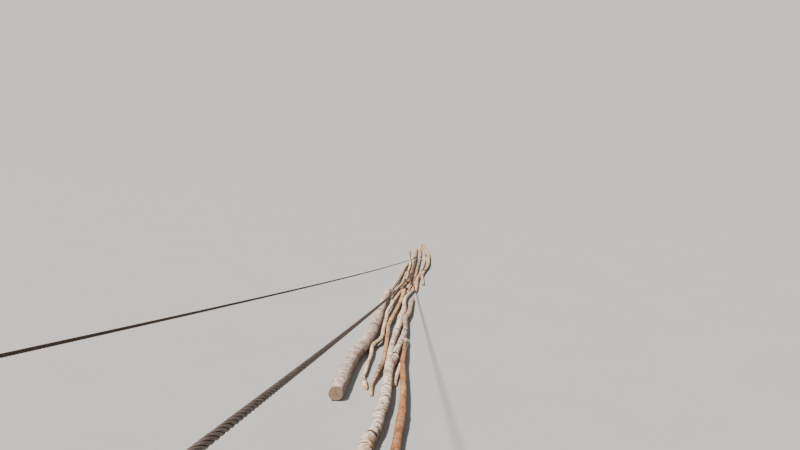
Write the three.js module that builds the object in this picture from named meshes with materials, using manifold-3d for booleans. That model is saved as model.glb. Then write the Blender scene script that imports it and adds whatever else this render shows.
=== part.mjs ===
// Pole footbridge: crooked trunks and poles laid side by side in two spans that
// overlap on a middle bearing, with a wire hand line on each side.
//
// Millimetres, +Z up, +Y from the near bank to the far bank, +X to the right.
// While it is laid out, distances along the bridge start just before the near
// eyes of the hand lines, and heights start at the level of the three bearings.
// The whole bridge is centred over its origin at the end.

import * as THREE from 'three';
import { mergeVertices } from 'three/addons/utils/BufferGeometryUtils.js';
import Module from 'manifold-3d';

const wasm = await Module();
wasm.setup();

// Driving dimensions
const GAP = 0.3; // left between two pieces that bear on each other
const POLE_SIDES = 10;
const TRUNK_SIDES = 12;
const ROPE_SIDES = 8;
const RING_SPACING = 330; // between the rings of a pole, about
const OVAL = 0.045; // how far a trunk is from round
const LOBES = 0.025;

const RIGHT_LINE_DIAMETER = 26;
const LEFT_LINE_DIAMETER = 16;
const EYE_RADIUS_FACTOR = 1.9; // eye bend, to the rope's middle, in rope diameters
const EYE_REACH_FACTOR = 2.6; // throat to eye centre, in eye radii
const TAIL_FACTOR = 17; // rope turned back behind the eye, in rope diameters
const CLIP_COUNT = 3;
const CLIP_SPACING_FACTOR = 5.5;
const BITE = 1.5; // how deep a wound rope presses into the bark
const LINE_SAG = 45; // at the middle of a hand line

const BARK = {
  grey: { color: 0xa89c98, roughness: 0.9 },
  white: { color: 0xc4b8ad, roughness: 0.85 },
  orange: { color: 0xb9805a, roughness: 0.85 },
  cream: { color: 0xd8c9ae, roughness: 0.85 },
  tan: { color: 0xc59a66, roughness: 0.85 },
  brown: { color: 0xa17a55, roughness: 0.9 },
  pink: { color: 0xcf9d8a, roughness: 0.85 },
  yellow: { color: 0xd6c08c, roughness: 0.85 },
};
const RUSTY_STEEL = { color: 0x5c4638, roughness: 0.75, metalness: 0.5 };
const GREY_STEEL = { color: 0x6d665e, roughness: 0.65, metalness: 0.6 };

// Each station of a pole's middle line: along, across, height, diameter
const TRUNK_LEFT = [
  [6750, -790, 94, 200],
  [7250, -750, 98, 198],
  [7680, -715, 102, 194],
  [8100, -660, 106, 196],
  [8560, -550, 108, 202],
  [9300, -448, 104, 194],
  [9600, -430, 100, 194],
  [9910, -394, 96, 176],
  [10390, -374, 88, 162],
  [11330, -326, 76, 156],
  [12070, -266, 63, 134],
  [12430, -240, 52, 112],
];
const TRUNK_FORKED = [
  [4250, -540, 78, 172],
  [4900, -435, 78, 168],
  [5420, -351, 84, 166],
  [5600, -329, 85, 162],
  [5710, -301, 86, 142],
  [5830, -263, 88, 132],
  [6020, -240, 88, 142],
  [6210, -230, 88, 150],
  [6410, -196, 88, 143],
  [6850, -172, 88, 144],
  [7350, -160, 86, 136],
  [7640, -150, 85, 129],
  [7990, -142, 84, 118],
  [8270, -146, 82, 88],
  [8430, -136, 82, 84],
  [8800, -106, 82, 92],
  [9200, -62, 84, 101],
  [9650, -15, 84, 104],
  [10150, 12, 82, 110],
  [10420, 54, 80, 112],
  [10720, 79, 75, 100],
  [11040, 84, 68, 82],
  [11370, 93, 62, 80],
  [11670, 120, 52, 82],
  [12260, 250, 37, 80],
  [12560, 300, 31, 70],
];
const RIGHT_LIMB = [
  [7720, -138, 82, 112],
  [7880, -108, 84, 116],
  [7990, -78, 85, 124],
  [8070, -70, 86, 120],
  [8130, -78, 86, 106],
  [8250, -62, 87, 100],
  [8590, -8, 88, 96],
  [8780, 20, 88, 102],
  [8980, 50, 88, 97],
  [9190, 74, 87, 92],
  [9420, 91, 84, 82],
  [9660, 96, 80, 76],
  [9910, 96, 78, 82],
  [10170, 118, 76, 90],
  [10450, 168, 70, 92],
  [10740, 193, 65, 88],
  [11060, 216, 58, 84],
  [11400, 243, 46, 76],
  [11660, 268, 32, 66],
];
const POLE_ORANGE = [
  [4330, -140, 50, 118],
  [4900, -96, 54, 116],
  [5450, -46, 68, 112],
  [5700, -24, 74, 105],
  [6030, 4, 81, 109],
  [6220, 20, 84, 101],
  [6410, 31, 87, 90],
  [6620, 40, 90, 84],
  [7070, 45, 95, 81],
  [7590, 40, 99, 78],
  [7880, 40, 101, 75],
  [8190, 60, 100, 70],
  [8510, 72, 99, 60],
  [8870, 95, 95, 52],
];
const POLE_SHORT = [
  [7190, -72, 26, 56],
  [7520, -40, 28, 57],
  [7930, 10, 30, 56],
  [8220, 44, 35, 58],
  [8520, 78, 38, 62],
  [8790, 108, 36, 60],
  [8990, 122, 40, 48],
];
const POLE_CREAM = [
  [7080, -442, 28, 64],
  [7180, -458, 32, 72],
  [7280, -474, 38, 80],
  [7425, -494, 42, 54],
  [7600, -476, 46, 59],
  [8020, -444, 58, 53],
  [8220, -426, 62, 56],
  [8400, -425, 65, 60],
  [8554, -428, 70, 66],
  [8694, -394, 74, 69],
  [8829, -328, 77, 73],
  [9039, -284, 81, 73],
  [9360, -279, 85, 66],
  [9640, -269, 88, 63],
  [9870, -255, 90, 67],
  [10090, -241, 90, 66],
  [10390, -239, 89, 65],
  [10680, -211, 86, 68],
  [10970, -168, 81, 74],
  [11770, -60, 56, 64],
  [12460, 40, 26, 58],
];
const POLE_TAN = [
  [6880, -362, 24, 48],
  [7050, -366, 32, 47],
  [7205, -362, 40, 46],
  [7320, -341, 46, 48],
  [7440, -320, 52, 64],
  [7600, -292, 56, 74],
  [7730, -270, 58, 73],
  [7890, -251, 60, 68],
  [8000, -234, 62, 60],
  [8320, -223, 63, 62],
  [8670, -212, 66, 66],
  [9150, -200, 68, 68],
  [9690, -192, 72, 72],
  [10050, -150, 74, 74],
  [10410, -100, 72, 74],
  [11300, 8, 58, 78],
  [11740, 52, 50, 84],
  [12120, 80, 44, 94],
  [12500, 92, 41, 88],
  [12800, 120, 34, 74],
];
const FAR_POLE_LEFT = [
  [12010, -198, 124, 84],
  [12580, -115, 112, 88],
  [13170, -40, 96, 88],
  [13780, 30, 84, 84],
  [14530, 100, 72, 76],
  [15060, 170, 66, 70],
  [15490, 232, 62, 64],
];
const FAR_POLE_PALE = [
  [11760, -186, 42, 78],
  [12160, -120, 42, 86],
  [12560, -30, 42, 84],
  [12970, 45, 40, 76],
  [13400, 84, 36, 66],
  [13790, 120, 32, 60],
  [14400, 165, 28, 54],
];
const FAR_POLE_BROWN = [
  [12340, 36, 118, 82],
  [12520, 90, 122, 90],
  [12710, 150, 124, 92],
  [12980, 205, 124, 92],
  [13400, 250, 120, 88],
  [13980, 290, 108, 82],
  [14830, 350, 88, 78],
  [15870, 420, 64, 74],
  [16950, 480, 46, 70],
  [17970, 530, 30, 66],
];
const FAR_POLE_THIN = [
  [13480, 160, 34, 54],
  [13990, 185, 40, 58],
  [14570, 222, 42, 58],
  [15140, 268, 44, 60],
  [15660, 282, 44, 58],
  [16310, 276, 38, 54],
  [17030, 280, 30, 50],
  [17730, 300, 21, 46],
];
const FAR_POLE_TAN = [
  [12190, 160, 26, 56],
  [12540, 208, 34, 58],
  [12880, 252, 42, 60],
  [13260, 302, 48, 62],
  [13620, 356, 52, 64],
  [14190, 410, 54, 64],
  [14830, 455, 54, 66],
  [15480, 510, 50, 64],
  [16230, 570, 44, 64],
  [16990, 618, 38, 64],
  [17660, 636, 33, 66],
  [18200, 650, 28, 62],
];
const FAR_POLE_SHORT = [
  [12400, 282, 28, 60],
  [12830, 312, 30, 62],
  [13230, 346, 30, 60],
  [13610, 392, 27, 56],
];
const FAR_POLE_PINK = [
  [12270, 338, 34, 72],
  [12730, 370, 40, 76],
  [13180, 394, 46, 80],
  [13540, 424, 50, 80],
  [13840, 468, 50, 74],
  [14360, 534, 44, 66],
  [14960, 600, 38, 62],
  [15510, 656, 33, 58],
  [15790, 680, 30, 55],
  [16290, 692, 26, 53],
];
const FAR_POLE_ARCHED = [
  [12990, 534, 29, 62],
  [13380, 532, 36, 66],
  [13860, 537, 44, 70],
  [14250, 590, 48, 71],
  [14580, 650, 52, 77],
  [14930, 718, 54, 86],
  [15490, 772, 55, 92],
  [16180, 812, 54, 95],
  [16860, 828, 52, 94],
  [17510, 816, 50, 96],
  [17850, 793, 50, 108],
  [18200, 772, 50, 112],
  [18740, 729, 46, 104],
];

// Knots and broken stubs: where along, turn about the pole from the right side
// towards the top in degrees, and their size. A stub points back to the near bank,
// spread away from the pole by some degrees.
const KNOTS = {
  trunk_forked: [{ along: 7830, turn: 150, width: 60 }],
  pole_tan: [{ along: 7700, turn: 130, width: 58 }, { along: 11700, turn: 60, width: 50 }],
  pole_cream: [{ along: 8840, turn: 200, width: 40 }, { along: 9960, turn: 40, width: 40 }],
  pole_short: [{ along: 8640, turn: 70, width: 44 }, { along: 8860, turn: 100, width: 40 }],
};
const STUBS = {
  far_pole_arched: [{ along: 17830, turn: 180, length: 1100, width: 46, spread: 2.5 }],
  far_pole_pink: [{ along: 16170, turn: 178, length: 100, width: 44, spread: 80 }],
};

// Where the hand lines start and where they are wound round a pole
const RIGHT_LINE = {
  side: 'right',
  diameter: RIGHT_LINE_DIAMETER,
  eye: [-438, 650, 2477],
  pole: FAR_POLE_BROWN,
  windFrom: 13180,
  windLength: 420,
  turns: 3,
};
const LEFT_LINE = {
  side: 'left',
  diameter: LEFT_LINE_DIAMETER,
  eye: [-1385, 1450, 2390],
  pole: FAR_POLE_BROWN,
  windFrom: 15950,
  windLength: 300,
  turns: 3,
};

// A closed three.js geometry as a solid
function solidOf(geometry) {
  geometry.deleteAttribute('normal');
  geometry.deleteAttribute('uv');
  const merged = mergeVertices(geometry, 1e-3);
  return new wasm.Manifold(new wasm.Mesh({
    numProp: 3,
    vertProperties: Float32Array.from(merged.attributes.position.array),
    triVerts: Uint32Array.from(merged.index.array),
  }));
}

function geometryOf(solid) {
  const mesh = solid.getMesh();
  const geometry = new THREE.BufferGeometry();
  geometry.setAttribute('position', new THREE.BufferAttribute(mesh.vertProperties, 3));
  geometry.setIndex(new THREE.BufferAttribute(mesh.triVerts, 1));
  geometry.computeVertexNormals();
  return geometry;
}

// A cylinder bent so that its rings follow the given centres and radii
function sweep(rings, sides, grow = 0, oval = 0, lobes = 0) {
  const last = rings.length - 1;
  const geometry = new THREE.CylinderGeometry(1, 1, last, sides, last);
  const frames = framesAlong(rings);
  const position = geometry.attributes.position;
  const point = new THREE.Vector3();
  for (let i = 0; i < position.count; i += 1) {
    const step = Math.round(position.getY(i) + last / 2);
    const turn = Math.atan2(position.getZ(i), position.getX(i));
    const reach = Math.hypot(position.getX(i), position.getZ(i));
    const { ahead, right, up } = frames[step];
    const shape = 1 + oval * Math.cos(2 * turn + step * 0.7) + lobes * Math.cos(3 * turn - step * 1.1);
    const radius = reach * (rings[step].radius * shape + grow);
    let endShift = 0;
    if (step === 0) endShift = -grow;
    if (step === last) endShift = grow;
    point.copy(rings[step].centre)
      .addScaledVector(ahead, endShift)
      .addScaledVector(right, radius * Math.cos(turn))
      .addScaledVector(up, radius * Math.sin(turn));
    position.setXYZ(i, point.x, point.y, point.z);
  }
  return solidOf(geometry);
}

// Directions at each ring, carried along the line without twist
function framesAlong(rings) {
  const frames = [];
  let up = new THREE.Vector3(0, 0, 1);
  rings.forEach((ring, step) => {
    const before = rings[Math.max(step - 1, 0)].centre;
    const after = rings[Math.min(step + 1, rings.length - 1)].centre;
    const ahead = after.clone().sub(before).normalize();
    up = up.clone().addScaledVector(ahead, -up.dot(ahead)).normalize();
    const right = ahead.clone().cross(up);
    frames.push({ ahead, right, up });
  });
  return frames;
}

function middleLine(stations) {
  const points = stations.map(([along, across, height]) => new THREE.Vector3(across, along, height));
  return new THREE.CatmullRomCurve3(points, false, 'centripetal');
}

function widthLine(stations) {
  const widths = stations.map(([, , , diameter]) => new THREE.Vector3(diameter, 0, 0));
  return new THREE.CatmullRomCurve3(widths, false, 'catmullrom');
}

// Rings of a pole: each station and, where stations are far apart, some between
function ringsOf(stations) {
  const middle = middleLine(stations);
  const width = widthLine(stations);
  const spans = stations.length - 1;
  const rings = [];
  for (let span = 0; span < spans; span += 1) {
    const length = stations[span + 1][0] - stations[span][0];
    const pieces = Math.max(1, Math.round(length / RING_SPACING));
    for (let piece = 0; piece < pieces; piece += 1) {
      const t = (span + piece / pieces) / spans;
      rings.push({ centre: middle.getPoint(t), radius: width.getPoint(t).x / 2 });
    }
  }
  rings.push({ centre: middle.getPoint(1), radius: width.getPoint(1).x / 2 });
  return rings;
}

// Middle and radius of a pole at a distance along the bridge
function poleAt(stations, along) {
  const spans = stations.length - 1;
  let low = 0;
  let high = 1;
  for (let halving = 0; halving < 24; halving += 1) {
    const middle = (low + high) / 2;
    if (middleLine(stations).getPoint(middle).y < along) low = middle;
    else high = middle;
  }
  const span = Math.min(Math.floor(low * spans), spans - 1);
  const share = low * spans - span;
  const radius = THREE.MathUtils.lerp(stations[span][3], stations[span + 1][3], share) / 2;
  return { centre: middleLine(stations).getPoint(low), radius };
}

function knot(stations, { along, turn, width }) {
  const { centre, radius } = poleAt(stations, along);
  const angle = THREE.MathUtils.degToRad(turn);
  const geometry = new THREE.SphereGeometry(width / 2, 8, 6);
  geometry.scale(0.8, 1.5, 0.8);
  geometry.rotateX(0.2);
  const out = radius * 0.8;
  geometry.translate(centre.x + out * Math.cos(angle), centre.y, centre.z + out * Math.sin(angle));
  return solidOf(geometry);
}

// A broken side branch
function stub(stations, { along, turn, length, width, spread }) {
  const { centre } = poleAt(stations, along);
  const angle = THREE.MathUtils.degToRad(turn);
  const opening = THREE.MathUtils.degToRad(spread);
  const heading = new THREE.Vector3(0, -Math.cos(opening), 0)
    .addScaledVector(new THREE.Vector3(Math.cos(angle), 0, Math.sin(angle)), Math.sin(opening));
  const rings = [0, 0.5, 1].map((share) => ({
    centre: centre.clone().addScaledVector(heading, length * share),
    radius: (width / 2) * (1 - 0.25 * share),
  }));
  return sweep(rings, 8);
}

// A pole with its knots and stubs, grown all round by a small amount if asked
function poleSolid(name, stations, sides, grow) {
  let solid = sweep(ringsOf(stations), sides, grow, OVAL, LOBES);
  (KNOTS[name] ?? []).forEach((each) => {
    solid = solid.add(knot(stations, { ...each, width: each.width + 2 * grow }));
  });
  (STUBS[name] ?? []).forEach((each) => {
    solid = solid.add(stub(stations, { ...each, width: each.width + 2 * grow }));
  });
  return solid;
}

// The rope's middle line round its eye, from the tail's end to the live strand,
// in the plane of the eye: first number out from the throat, second towards the live side
function eyeOutline(diameter) {
  const strandGap = diameter + 2 * GAP;
  const bend = diameter * EYE_RADIUS_FACTOR;
  const reach = bend * EYE_REACH_FACTOR;
  const throat = Math.hypot(reach, strandGap / 2);
  const start = -Math.PI + Math.atan(strandGap / 2 / reach) + Math.acos(bend / throat);
  const points = [[-TAIL_FACTOR * diameter, -strandGap / 2], [0, -strandGap / 2]];
  const steps = 14;
  for (let step = 0; step <= steps; step += 1) {
    const turn = start * (1 - (2 * step) / steps);
    points.push([reach + bend * Math.cos(turn), bend * Math.sin(turn)]);
  }
  points.push([0, strandGap / 2], [-(TAIL_FACTOR + 2) * diameter, strandGap / 2]);
  return { points, bend, reach, start, strandGap };
}

// Places the eye's plane: out points away from the bridge along the rope
function eyeFrame({ eye, pole, windFrom }) {
  const throat = new THREE.Vector3(...eye);
  const landing = poleAt(pole, windFrom).centre;
  const out = throat.clone().sub(landing).normalize();
  const live = new THREE.Vector3(0, 0, 1).addScaledVector(out, -out.z).normalize();
  const aside = out.clone().cross(live);
  return { throat, out, live, aside };
}

function handLineRings(line) {
  const { throat, out, live } = eyeFrame(line);
  const { points } = eyeOutline(line.diameter);
  const radius = line.diameter / 2;
  const rings = points.map(([ahead, aside]) => ({
    centre: throat.clone().addScaledVector(out, ahead).addScaledVector(live, aside),
    radius,
  }));
  const wound = woundRings(line);
  const from = rings[rings.length - 1].centre;
  const to = wound[0].centre;
  const pieces = 14;
  for (let piece = 1; piece < pieces; piece += 1) {
    const share = piece / pieces;
    const centre = from.clone().lerp(to, share);
    centre.z -= LINE_SAG * 4 * share * (1 - share);
    rings.push({ centre, radius });
  }
  return [...rings, ...wound];
}

// Turns round the pole, which start along it and close up
function woundRings({ diameter, pole, windFrom, windLength, turns }) {
  const rings = [];
  const steps = turns * 14;
  for (let step = 0; step <= steps; step += 1) {
    const share = step / steps;
    const { centre, radius } = poleAt(pole, windFrom + windLength * share);
    const angle = Math.PI / 2 + 2 * Math.PI * turns * share ** 1.7;
    const out = radius * (1 + OVAL) + diameter / 2 - BITE;
    const place = centre.clone().add(new THREE.Vector3(out * Math.cos(angle), 0, out * Math.sin(angle)));
    rings.push({ centre: place, radius: diameter / 2 });
  }
  return rings;
}

// Grooved liner inside the eye
function thimbleSolid(line) {
  const { bend, reach, start } = eyeOutline(line.diameter);
  const wall = line.diameter * 0.22;
  const outer = bend - line.diameter / 2 - GAP;
  const teardrop = (radius, path) => {
    path.moveTo(reach + radius / Math.cos(start), 0);
    path.lineTo(reach + radius * Math.cos(start), radius * Math.sin(start));
    path.absarc(reach, 0, radius, start, -start, false);
    path.closePath();
    return path;
  };
  const shape = teardrop(outer, new THREE.Shape());
  shape.holes.push(teardrop(outer - wall, new THREE.Path()));
  const depth = line.diameter * 0.9;
  const geometry = new THREE.ExtrudeGeometry(shape, { depth, bevelEnabled: false, curveSegments: 14 });
  geometry.translate(0, 0, -depth / 2);
  return placedInEye(solidOf(geometry), line);
}

function placedInEye(solid, line) {
  const { throat, out, live, aside } = eyeFrame(line);
  const matrix = new THREE.Matrix4().makeBasis(out, live, aside).setPosition(throat);
  return solid.transform(matrix.elements);
}

// Wire rope clip: a saddle on the live strand and a U-bolt round both strands
function clipSolid(line, index) {
  const { diameter } = line;
  const { strandGap } = eyeOutline(diameter);
  const bar = diameter * 0.24;
  const legs = diameter / 2 + GAP + bar;
  const saddleLow = strandGap / 2 + diameter / 2 + GAP;
  const saddleHeight = diameter * 0.45;
  const legTop = saddleLow + saddleHeight + bar * 2.6;
  const rings = [{ centre: new THREE.Vector3(0, legTop, legs), radius: bar }];
  for (let step = 0; step <= 8; step += 1) {
    const turn = (Math.PI * step) / 8;
    const centre = new THREE.Vector3(0, -strandGap / 2 - legs * Math.sin(turn), legs * Math.cos(turn));
    rings.push({ centre, radius: bar });
  }
  rings.push({ centre: new THREE.Vector3(0, legTop, -legs), radius: bar });
  let solid = sweep(rings, 8);
  const saddle = new THREE.BoxGeometry(diameter * 1.1, saddleHeight, 2 * (legs + bar * 1.7));
  saddle.translate(0, saddleLow + saddleHeight / 2, 0);
  solid = solid.add(solidOf(saddle));
  [-1, 1].forEach((side) => {
    const nut = new THREE.CylinderGeometry(bar * 1.75, bar * 1.75, bar * 1.6, 6);
    nut.translate(0, saddleLow + saddleHeight + bar * 0.75, side * legs);
    solid = solid.add(solidOf(nut));
  });
  const back = diameter * (1.5 + CLIP_SPACING_FACTOR * index);
  return placedInEye(solid.translate([-back, 0, 0]), line);
}

const bridge = new THREE.Group();
const layout = new THREE.Group();
bridge.add(layout);
const placed = [];

function addPiece(name, solid, look) {
  const material = new THREE.MeshStandardMaterial({ metalness: 0, ...look });
  const mesh = new THREE.Mesh(geometryOf(solid), material);
  mesh.name = name;
  layout.add(mesh);
}

// The hand lines, with the fittings of their eyes
[{ line: RIGHT_LINE, look: GREY_STEEL }, { line: LEFT_LINE, look: RUSTY_STEEL }].forEach(({ line, look }) => {
  const rings = handLineRings(line);
  addPiece(`hand_line_${line.side}`, sweep(rings, ROPE_SIDES), look);
  placed.push(sweep(rings, ROPE_SIDES, GAP));
  addPiece(`thimble_${line.side}`, thimbleSolid(line), look);
  for (let index = 0; index < CLIP_COUNT; index += 1) {
    addPiece(`clip_${line.side}_${index + 1}`, clipSolid(line, index), look);
  }
});

// The underside of everything is cut level where it bears
const belowBearings = solidOf(new THREE.BoxGeometry(6000, 50000, 1000).translate(0, 0, -500));

// Lays a pole: it is cut level on its bearings and where it lies against others
function layPole(name, stations, sides, look, limb) {
  const build = (grow) => {
    let solid = poleSolid(name, stations, sides, grow);
    if (limb) solid = solid.add(sweep(ringsOf(limb), POLE_SIDES, grow, OVAL, LOBES));
    return solid;
  };
  let solid = build(0).subtract(belowBearings);
  placed.forEach((other) => {
    solid = solid.subtract(other);
  });
  const whole = solid.decompose().sort((a, b) => b.volume() - a.volume())[0];
  addPiece(name, whole, look);
  placed.push(build(GAP));
}

layPole('trunk_left', TRUNK_LEFT, TRUNK_SIDES, BARK.grey);
layPole('trunk_forked', TRUNK_FORKED, TRUNK_SIDES, BARK.white, RIGHT_LIMB);
layPole('pole_orange', POLE_ORANGE, POLE_SIDES, BARK.orange);
layPole('pole_short', POLE_SHORT, POLE_SIDES, BARK.cream);
layPole('pole_cream', POLE_CREAM, POLE_SIDES, BARK.cream);
layPole('pole_tan', POLE_TAN, POLE_SIDES, BARK.tan);
layPole('far_pole_left', FAR_POLE_LEFT, POLE_SIDES, BARK.cream);
layPole('far_pole_pale', FAR_POLE_PALE, POLE_SIDES, BARK.pink);
layPole('far_pole_brown', FAR_POLE_BROWN, POLE_SIDES, BARK.brown);
layPole('far_pole_tan', FAR_POLE_TAN, POLE_SIDES, BARK.tan);
layPole('far_pole_thin', FAR_POLE_THIN, POLE_SIDES, BARK.pink);
layPole('far_pole_short', FAR_POLE_SHORT, POLE_SIDES, BARK.pink);
layPole('far_pole_pink', FAR_POLE_PINK, POLE_SIDES, BARK.pink);
layPole('far_pole_arched', FAR_POLE_ARCHED, POLE_SIDES, BARK.yellow);

// Centre the bridge over its origin, on the level of its bearings
const extent = new THREE.Box3().setFromObject(layout, true);
const middle = extent.getCenter(new THREE.Vector3());
layout.position.set(-middle.x, -middle.y, -extent.min.z);

export default bridge;
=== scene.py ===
"""Dresses the pole footbridge: barked and peeled poles, twisted wire hand lines and their fittings."""

import math

import bpy
import numpy as np
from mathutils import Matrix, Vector


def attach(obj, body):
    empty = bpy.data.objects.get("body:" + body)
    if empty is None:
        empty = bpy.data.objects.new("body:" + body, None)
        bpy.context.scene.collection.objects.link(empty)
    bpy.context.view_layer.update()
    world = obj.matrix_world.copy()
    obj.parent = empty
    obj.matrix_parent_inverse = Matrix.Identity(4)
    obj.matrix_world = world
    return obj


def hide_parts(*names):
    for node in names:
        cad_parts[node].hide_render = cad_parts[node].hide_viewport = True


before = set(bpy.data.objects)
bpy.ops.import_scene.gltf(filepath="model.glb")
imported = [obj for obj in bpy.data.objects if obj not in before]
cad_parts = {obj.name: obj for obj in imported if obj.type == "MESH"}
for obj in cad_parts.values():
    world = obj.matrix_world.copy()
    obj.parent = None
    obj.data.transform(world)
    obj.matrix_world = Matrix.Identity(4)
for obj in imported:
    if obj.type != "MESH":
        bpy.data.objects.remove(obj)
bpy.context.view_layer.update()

# The stations below count millimetres from the layout's own start
START = np.array([265.638, -9603.115, 0.0])

# Stations of each pole's middle line: along, across, height, diameter
TRUNK_LEFT = [
    (6750, -790, 94, 200), (7250, -750, 98, 198), (7680, -715, 102, 194), (8100, -660, 106, 196),
    (8560, -550, 108, 202), (9300, -448, 104, 194), (9600, -430, 100, 194), (9910, -394, 96, 176),
    (10390, -374, 88, 162), (11330, -326, 76, 156), (12070, -266, 63, 134), (12430, -240, 52, 112),
]
TRUNK_FORKED = [
    (4250, -540, 78, 172), (4900, -435, 78, 168), (5420, -351, 84, 166), (5600, -329, 85, 162),
    (5710, -301, 86, 142), (5830, -263, 88, 132), (6020, -240, 88, 142), (6210, -230, 88, 150),
    (6410, -196, 88, 143), (6850, -172, 88, 144), (7350, -160, 86, 136), (7640, -150, 85, 129),
    (7990, -142, 84, 118), (8270, -146, 82, 88), (8430, -136, 82, 84), (8800, -106, 82, 92),
    (9200, -62, 84, 101), (9650, -15, 84, 104), (10150, 12, 82, 110), (10420, 54, 80, 112),
    (10720, 79, 75, 100), (11040, 84, 68, 82), (11370, 93, 62, 80), (11670, 120, 52, 82),
    (12260, 250, 37, 80), (12560, 300, 31, 70),
]
RIGHT_LIMB = [
    (7720, -138, 82, 112), (7880, -108, 84, 116), (7990, -78, 85, 124), (8070, -70, 86, 120),
    (8130, -78, 86, 106), (8250, -62, 87, 100), (8590, -8, 88, 96), (8780, 20, 88, 102),
    (8980, 50, 88, 97), (9190, 74, 87, 92), (9420, 91, 84, 82), (9660, 96, 80, 76), (9910, 96, 78, 82),
    (10170, 118, 76, 90), (10450, 168, 70, 92), (10740, 193, 65, 88), (11060, 216, 58, 84),
    (11400, 243, 46, 76), (11660, 268, 32, 66),
]
POLE_ORANGE = [
    (4330, -140, 50, 118), (4900, -96, 54, 116), (5450, -46, 68, 112), (5700, -24, 74, 105),
    (6030, 4, 81, 109), (6220, 20, 84, 101), (6410, 31, 87, 90), (6620, 40, 90, 84), (7070, 45, 95, 81),
    (7590, 40, 99, 78), (7880, 40, 101, 75), (8190, 60, 100, 70), (8510, 72, 99, 60),
    (8870, 95, 95, 52),
]
POLE_SHORT = [
    (7190, -72, 26, 56), (7520, -40, 28, 57), (7930, 10, 30, 56), (8220, 44, 35, 58),
    (8520, 78, 38, 62), (8790, 108, 36, 60), (8990, 122, 40, 48),
]
POLE_CREAM = [
    (7080, -442, 28, 64), (7180, -458, 32, 72), (7280, -474, 38, 80), (7425, -494, 42, 54),
    (7600, -476, 46, 59), (8020, -444, 58, 53), (8220, -426, 62, 56), (8400, -425, 65, 60),
    (8554, -428, 70, 66), (8694, -394, 74, 69), (8829, -328, 77, 73), (9039, -284, 81, 73),
    (9360, -279, 85, 66), (9640, -269, 88, 63), (9870, -255, 90, 67), (10090, -241, 90, 66),
    (10390, -239, 89, 65), (10680, -211, 86, 68), (10970, -168, 81, 74), (11770, -60, 56, 64),
    (12460, 40, 26, 58),
]
POLE_TAN = [
    (6880, -362, 24, 48), (7050, -366, 32, 47), (7205, -362, 40, 46), (7320, -341, 46, 48),
    (7440, -320, 52, 64), (7600, -292, 56, 74), (7730, -270, 58, 73), (7890, -251, 60, 68),
    (8000, -234, 62, 60), (8320, -223, 63, 62), (8670, -212, 66, 66), (9150, -200, 68, 68),
    (9690, -192, 72, 72), (10050, -150, 74, 74), (10410, -100, 72, 74), (11300, 8, 58, 78),
    (11740, 52, 50, 84), (12120, 80, 44, 94), (12500, 92, 41, 88), (12800, 120, 34, 74),
]
FAR_POLE_LEFT = [
    (12010, -198, 124, 84), (12580, -115, 112, 88), (13170, -40, 96, 88), (13780, 30, 84, 84),
    (14530, 100, 72, 76), (15060, 170, 66, 70), (15490, 232, 62, 64),
]
FAR_POLE_PALE = [
    (11760, -186, 42, 78), (12160, -120, 42, 86), (12560, -30, 42, 84), (12970, 45, 40, 76),
    (13400, 84, 36, 66), (13790, 120, 32, 60), (14400, 165, 28, 54),
]
FAR_POLE_BROWN = [
    (12340, 36, 118, 82), (12520, 90, 122, 90), (12710, 150, 124, 92), (12980, 205, 124, 92),
    (13400, 250, 120, 88), (13980, 290, 108, 82), (14830, 350, 88, 78), (15870, 420, 64, 74),
    (16950, 480, 46, 70), (17970, 530, 30, 66),
]
FAR_POLE_THIN = [
    (13480, 160, 34, 54), (13990, 185, 40, 58), (14570, 222, 42, 58), (15140, 268, 44, 60),
    (15660, 282, 44, 58), (16310, 276, 38, 54), (17030, 280, 30, 50), (17730, 300, 21, 46),
]
FAR_POLE_TAN = [
    (12190, 160, 26, 56), (12540, 208, 34, 58), (12880, 252, 42, 60), (13260, 302, 48, 62),
    (13620, 356, 52, 64), (14190, 410, 54, 64), (14830, 455, 54, 66), (15480, 510, 50, 64),
    (16230, 570, 44, 64), (16990, 618, 38, 64), (17660, 636, 33, 66), (18200, 650, 28, 62),
]
FAR_POLE_SHORT = [
    (12400, 282, 28, 60), (12830, 312, 30, 62), (13230, 346, 30, 60), (13610, 392, 27, 56),
]
FAR_POLE_PINK = [
    (12270, 338, 34, 72), (12730, 370, 40, 76), (13180, 394, 46, 80), (13540, 424, 50, 80),
    (13840, 468, 50, 74), (14360, 534, 44, 66), (14960, 600, 38, 62), (15510, 656, 33, 58),
    (15790, 680, 30, 55), (16290, 692, 26, 53),
]
FAR_POLE_ARCHED = [
    (12990, 534, 29, 62), (13380, 532, 36, 66), (13860, 537, 44, 70), (14250, 590, 48, 71),
    (14580, 650, 52, 77), (14930, 718, 54, 86), (15490, 772, 55, 92), (16180, 812, 54, 95),
    (16860, 828, 52, 94), (17510, 816, 50, 96), (17850, 793, 50, 108), (18200, 772, 50, 112),
    (18740, 729, 46, 104),
]

# Colours of bark and wood in sunlight, linear
GREY_LILAC = (0.43, 0.335, 0.32)
PALE_GREY = (0.6, 0.475, 0.41)
WHITE_BARK = (0.78, 0.62, 0.53)
WORN_ORANGE = (0.45, 0.25, 0.135)
PEELED = (0.42, 0.235, 0.14)
ORANGE = (0.345, 0.168, 0.088)
RED_BROWN = (0.43, 0.2, 0.13)
TAN = (0.41, 0.24, 0.12)
GREY_TAN = (0.4, 0.285, 0.18)
YELLOW = (0.62, 0.435, 0.22)
YELLOW_WHITE = (0.84, 0.74, 0.5)
PEACH = (0.54, 0.31, 0.18)
CREAM = (0.78, 0.62, 0.48)
OLIVE = (0.54, 0.47, 0.3)
OLIVE_GREY = (0.36, 0.3, 0.2)
PINK = (0.62, 0.35, 0.265)
PINK_GREY = (0.6, 0.435, 0.365)
BROWN = (0.3, 0.19, 0.11)
FRESH_CUT = (0.95, 0.58, 0.33)
OLD_CUT = (0.36, 0.25, 0.16)

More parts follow.
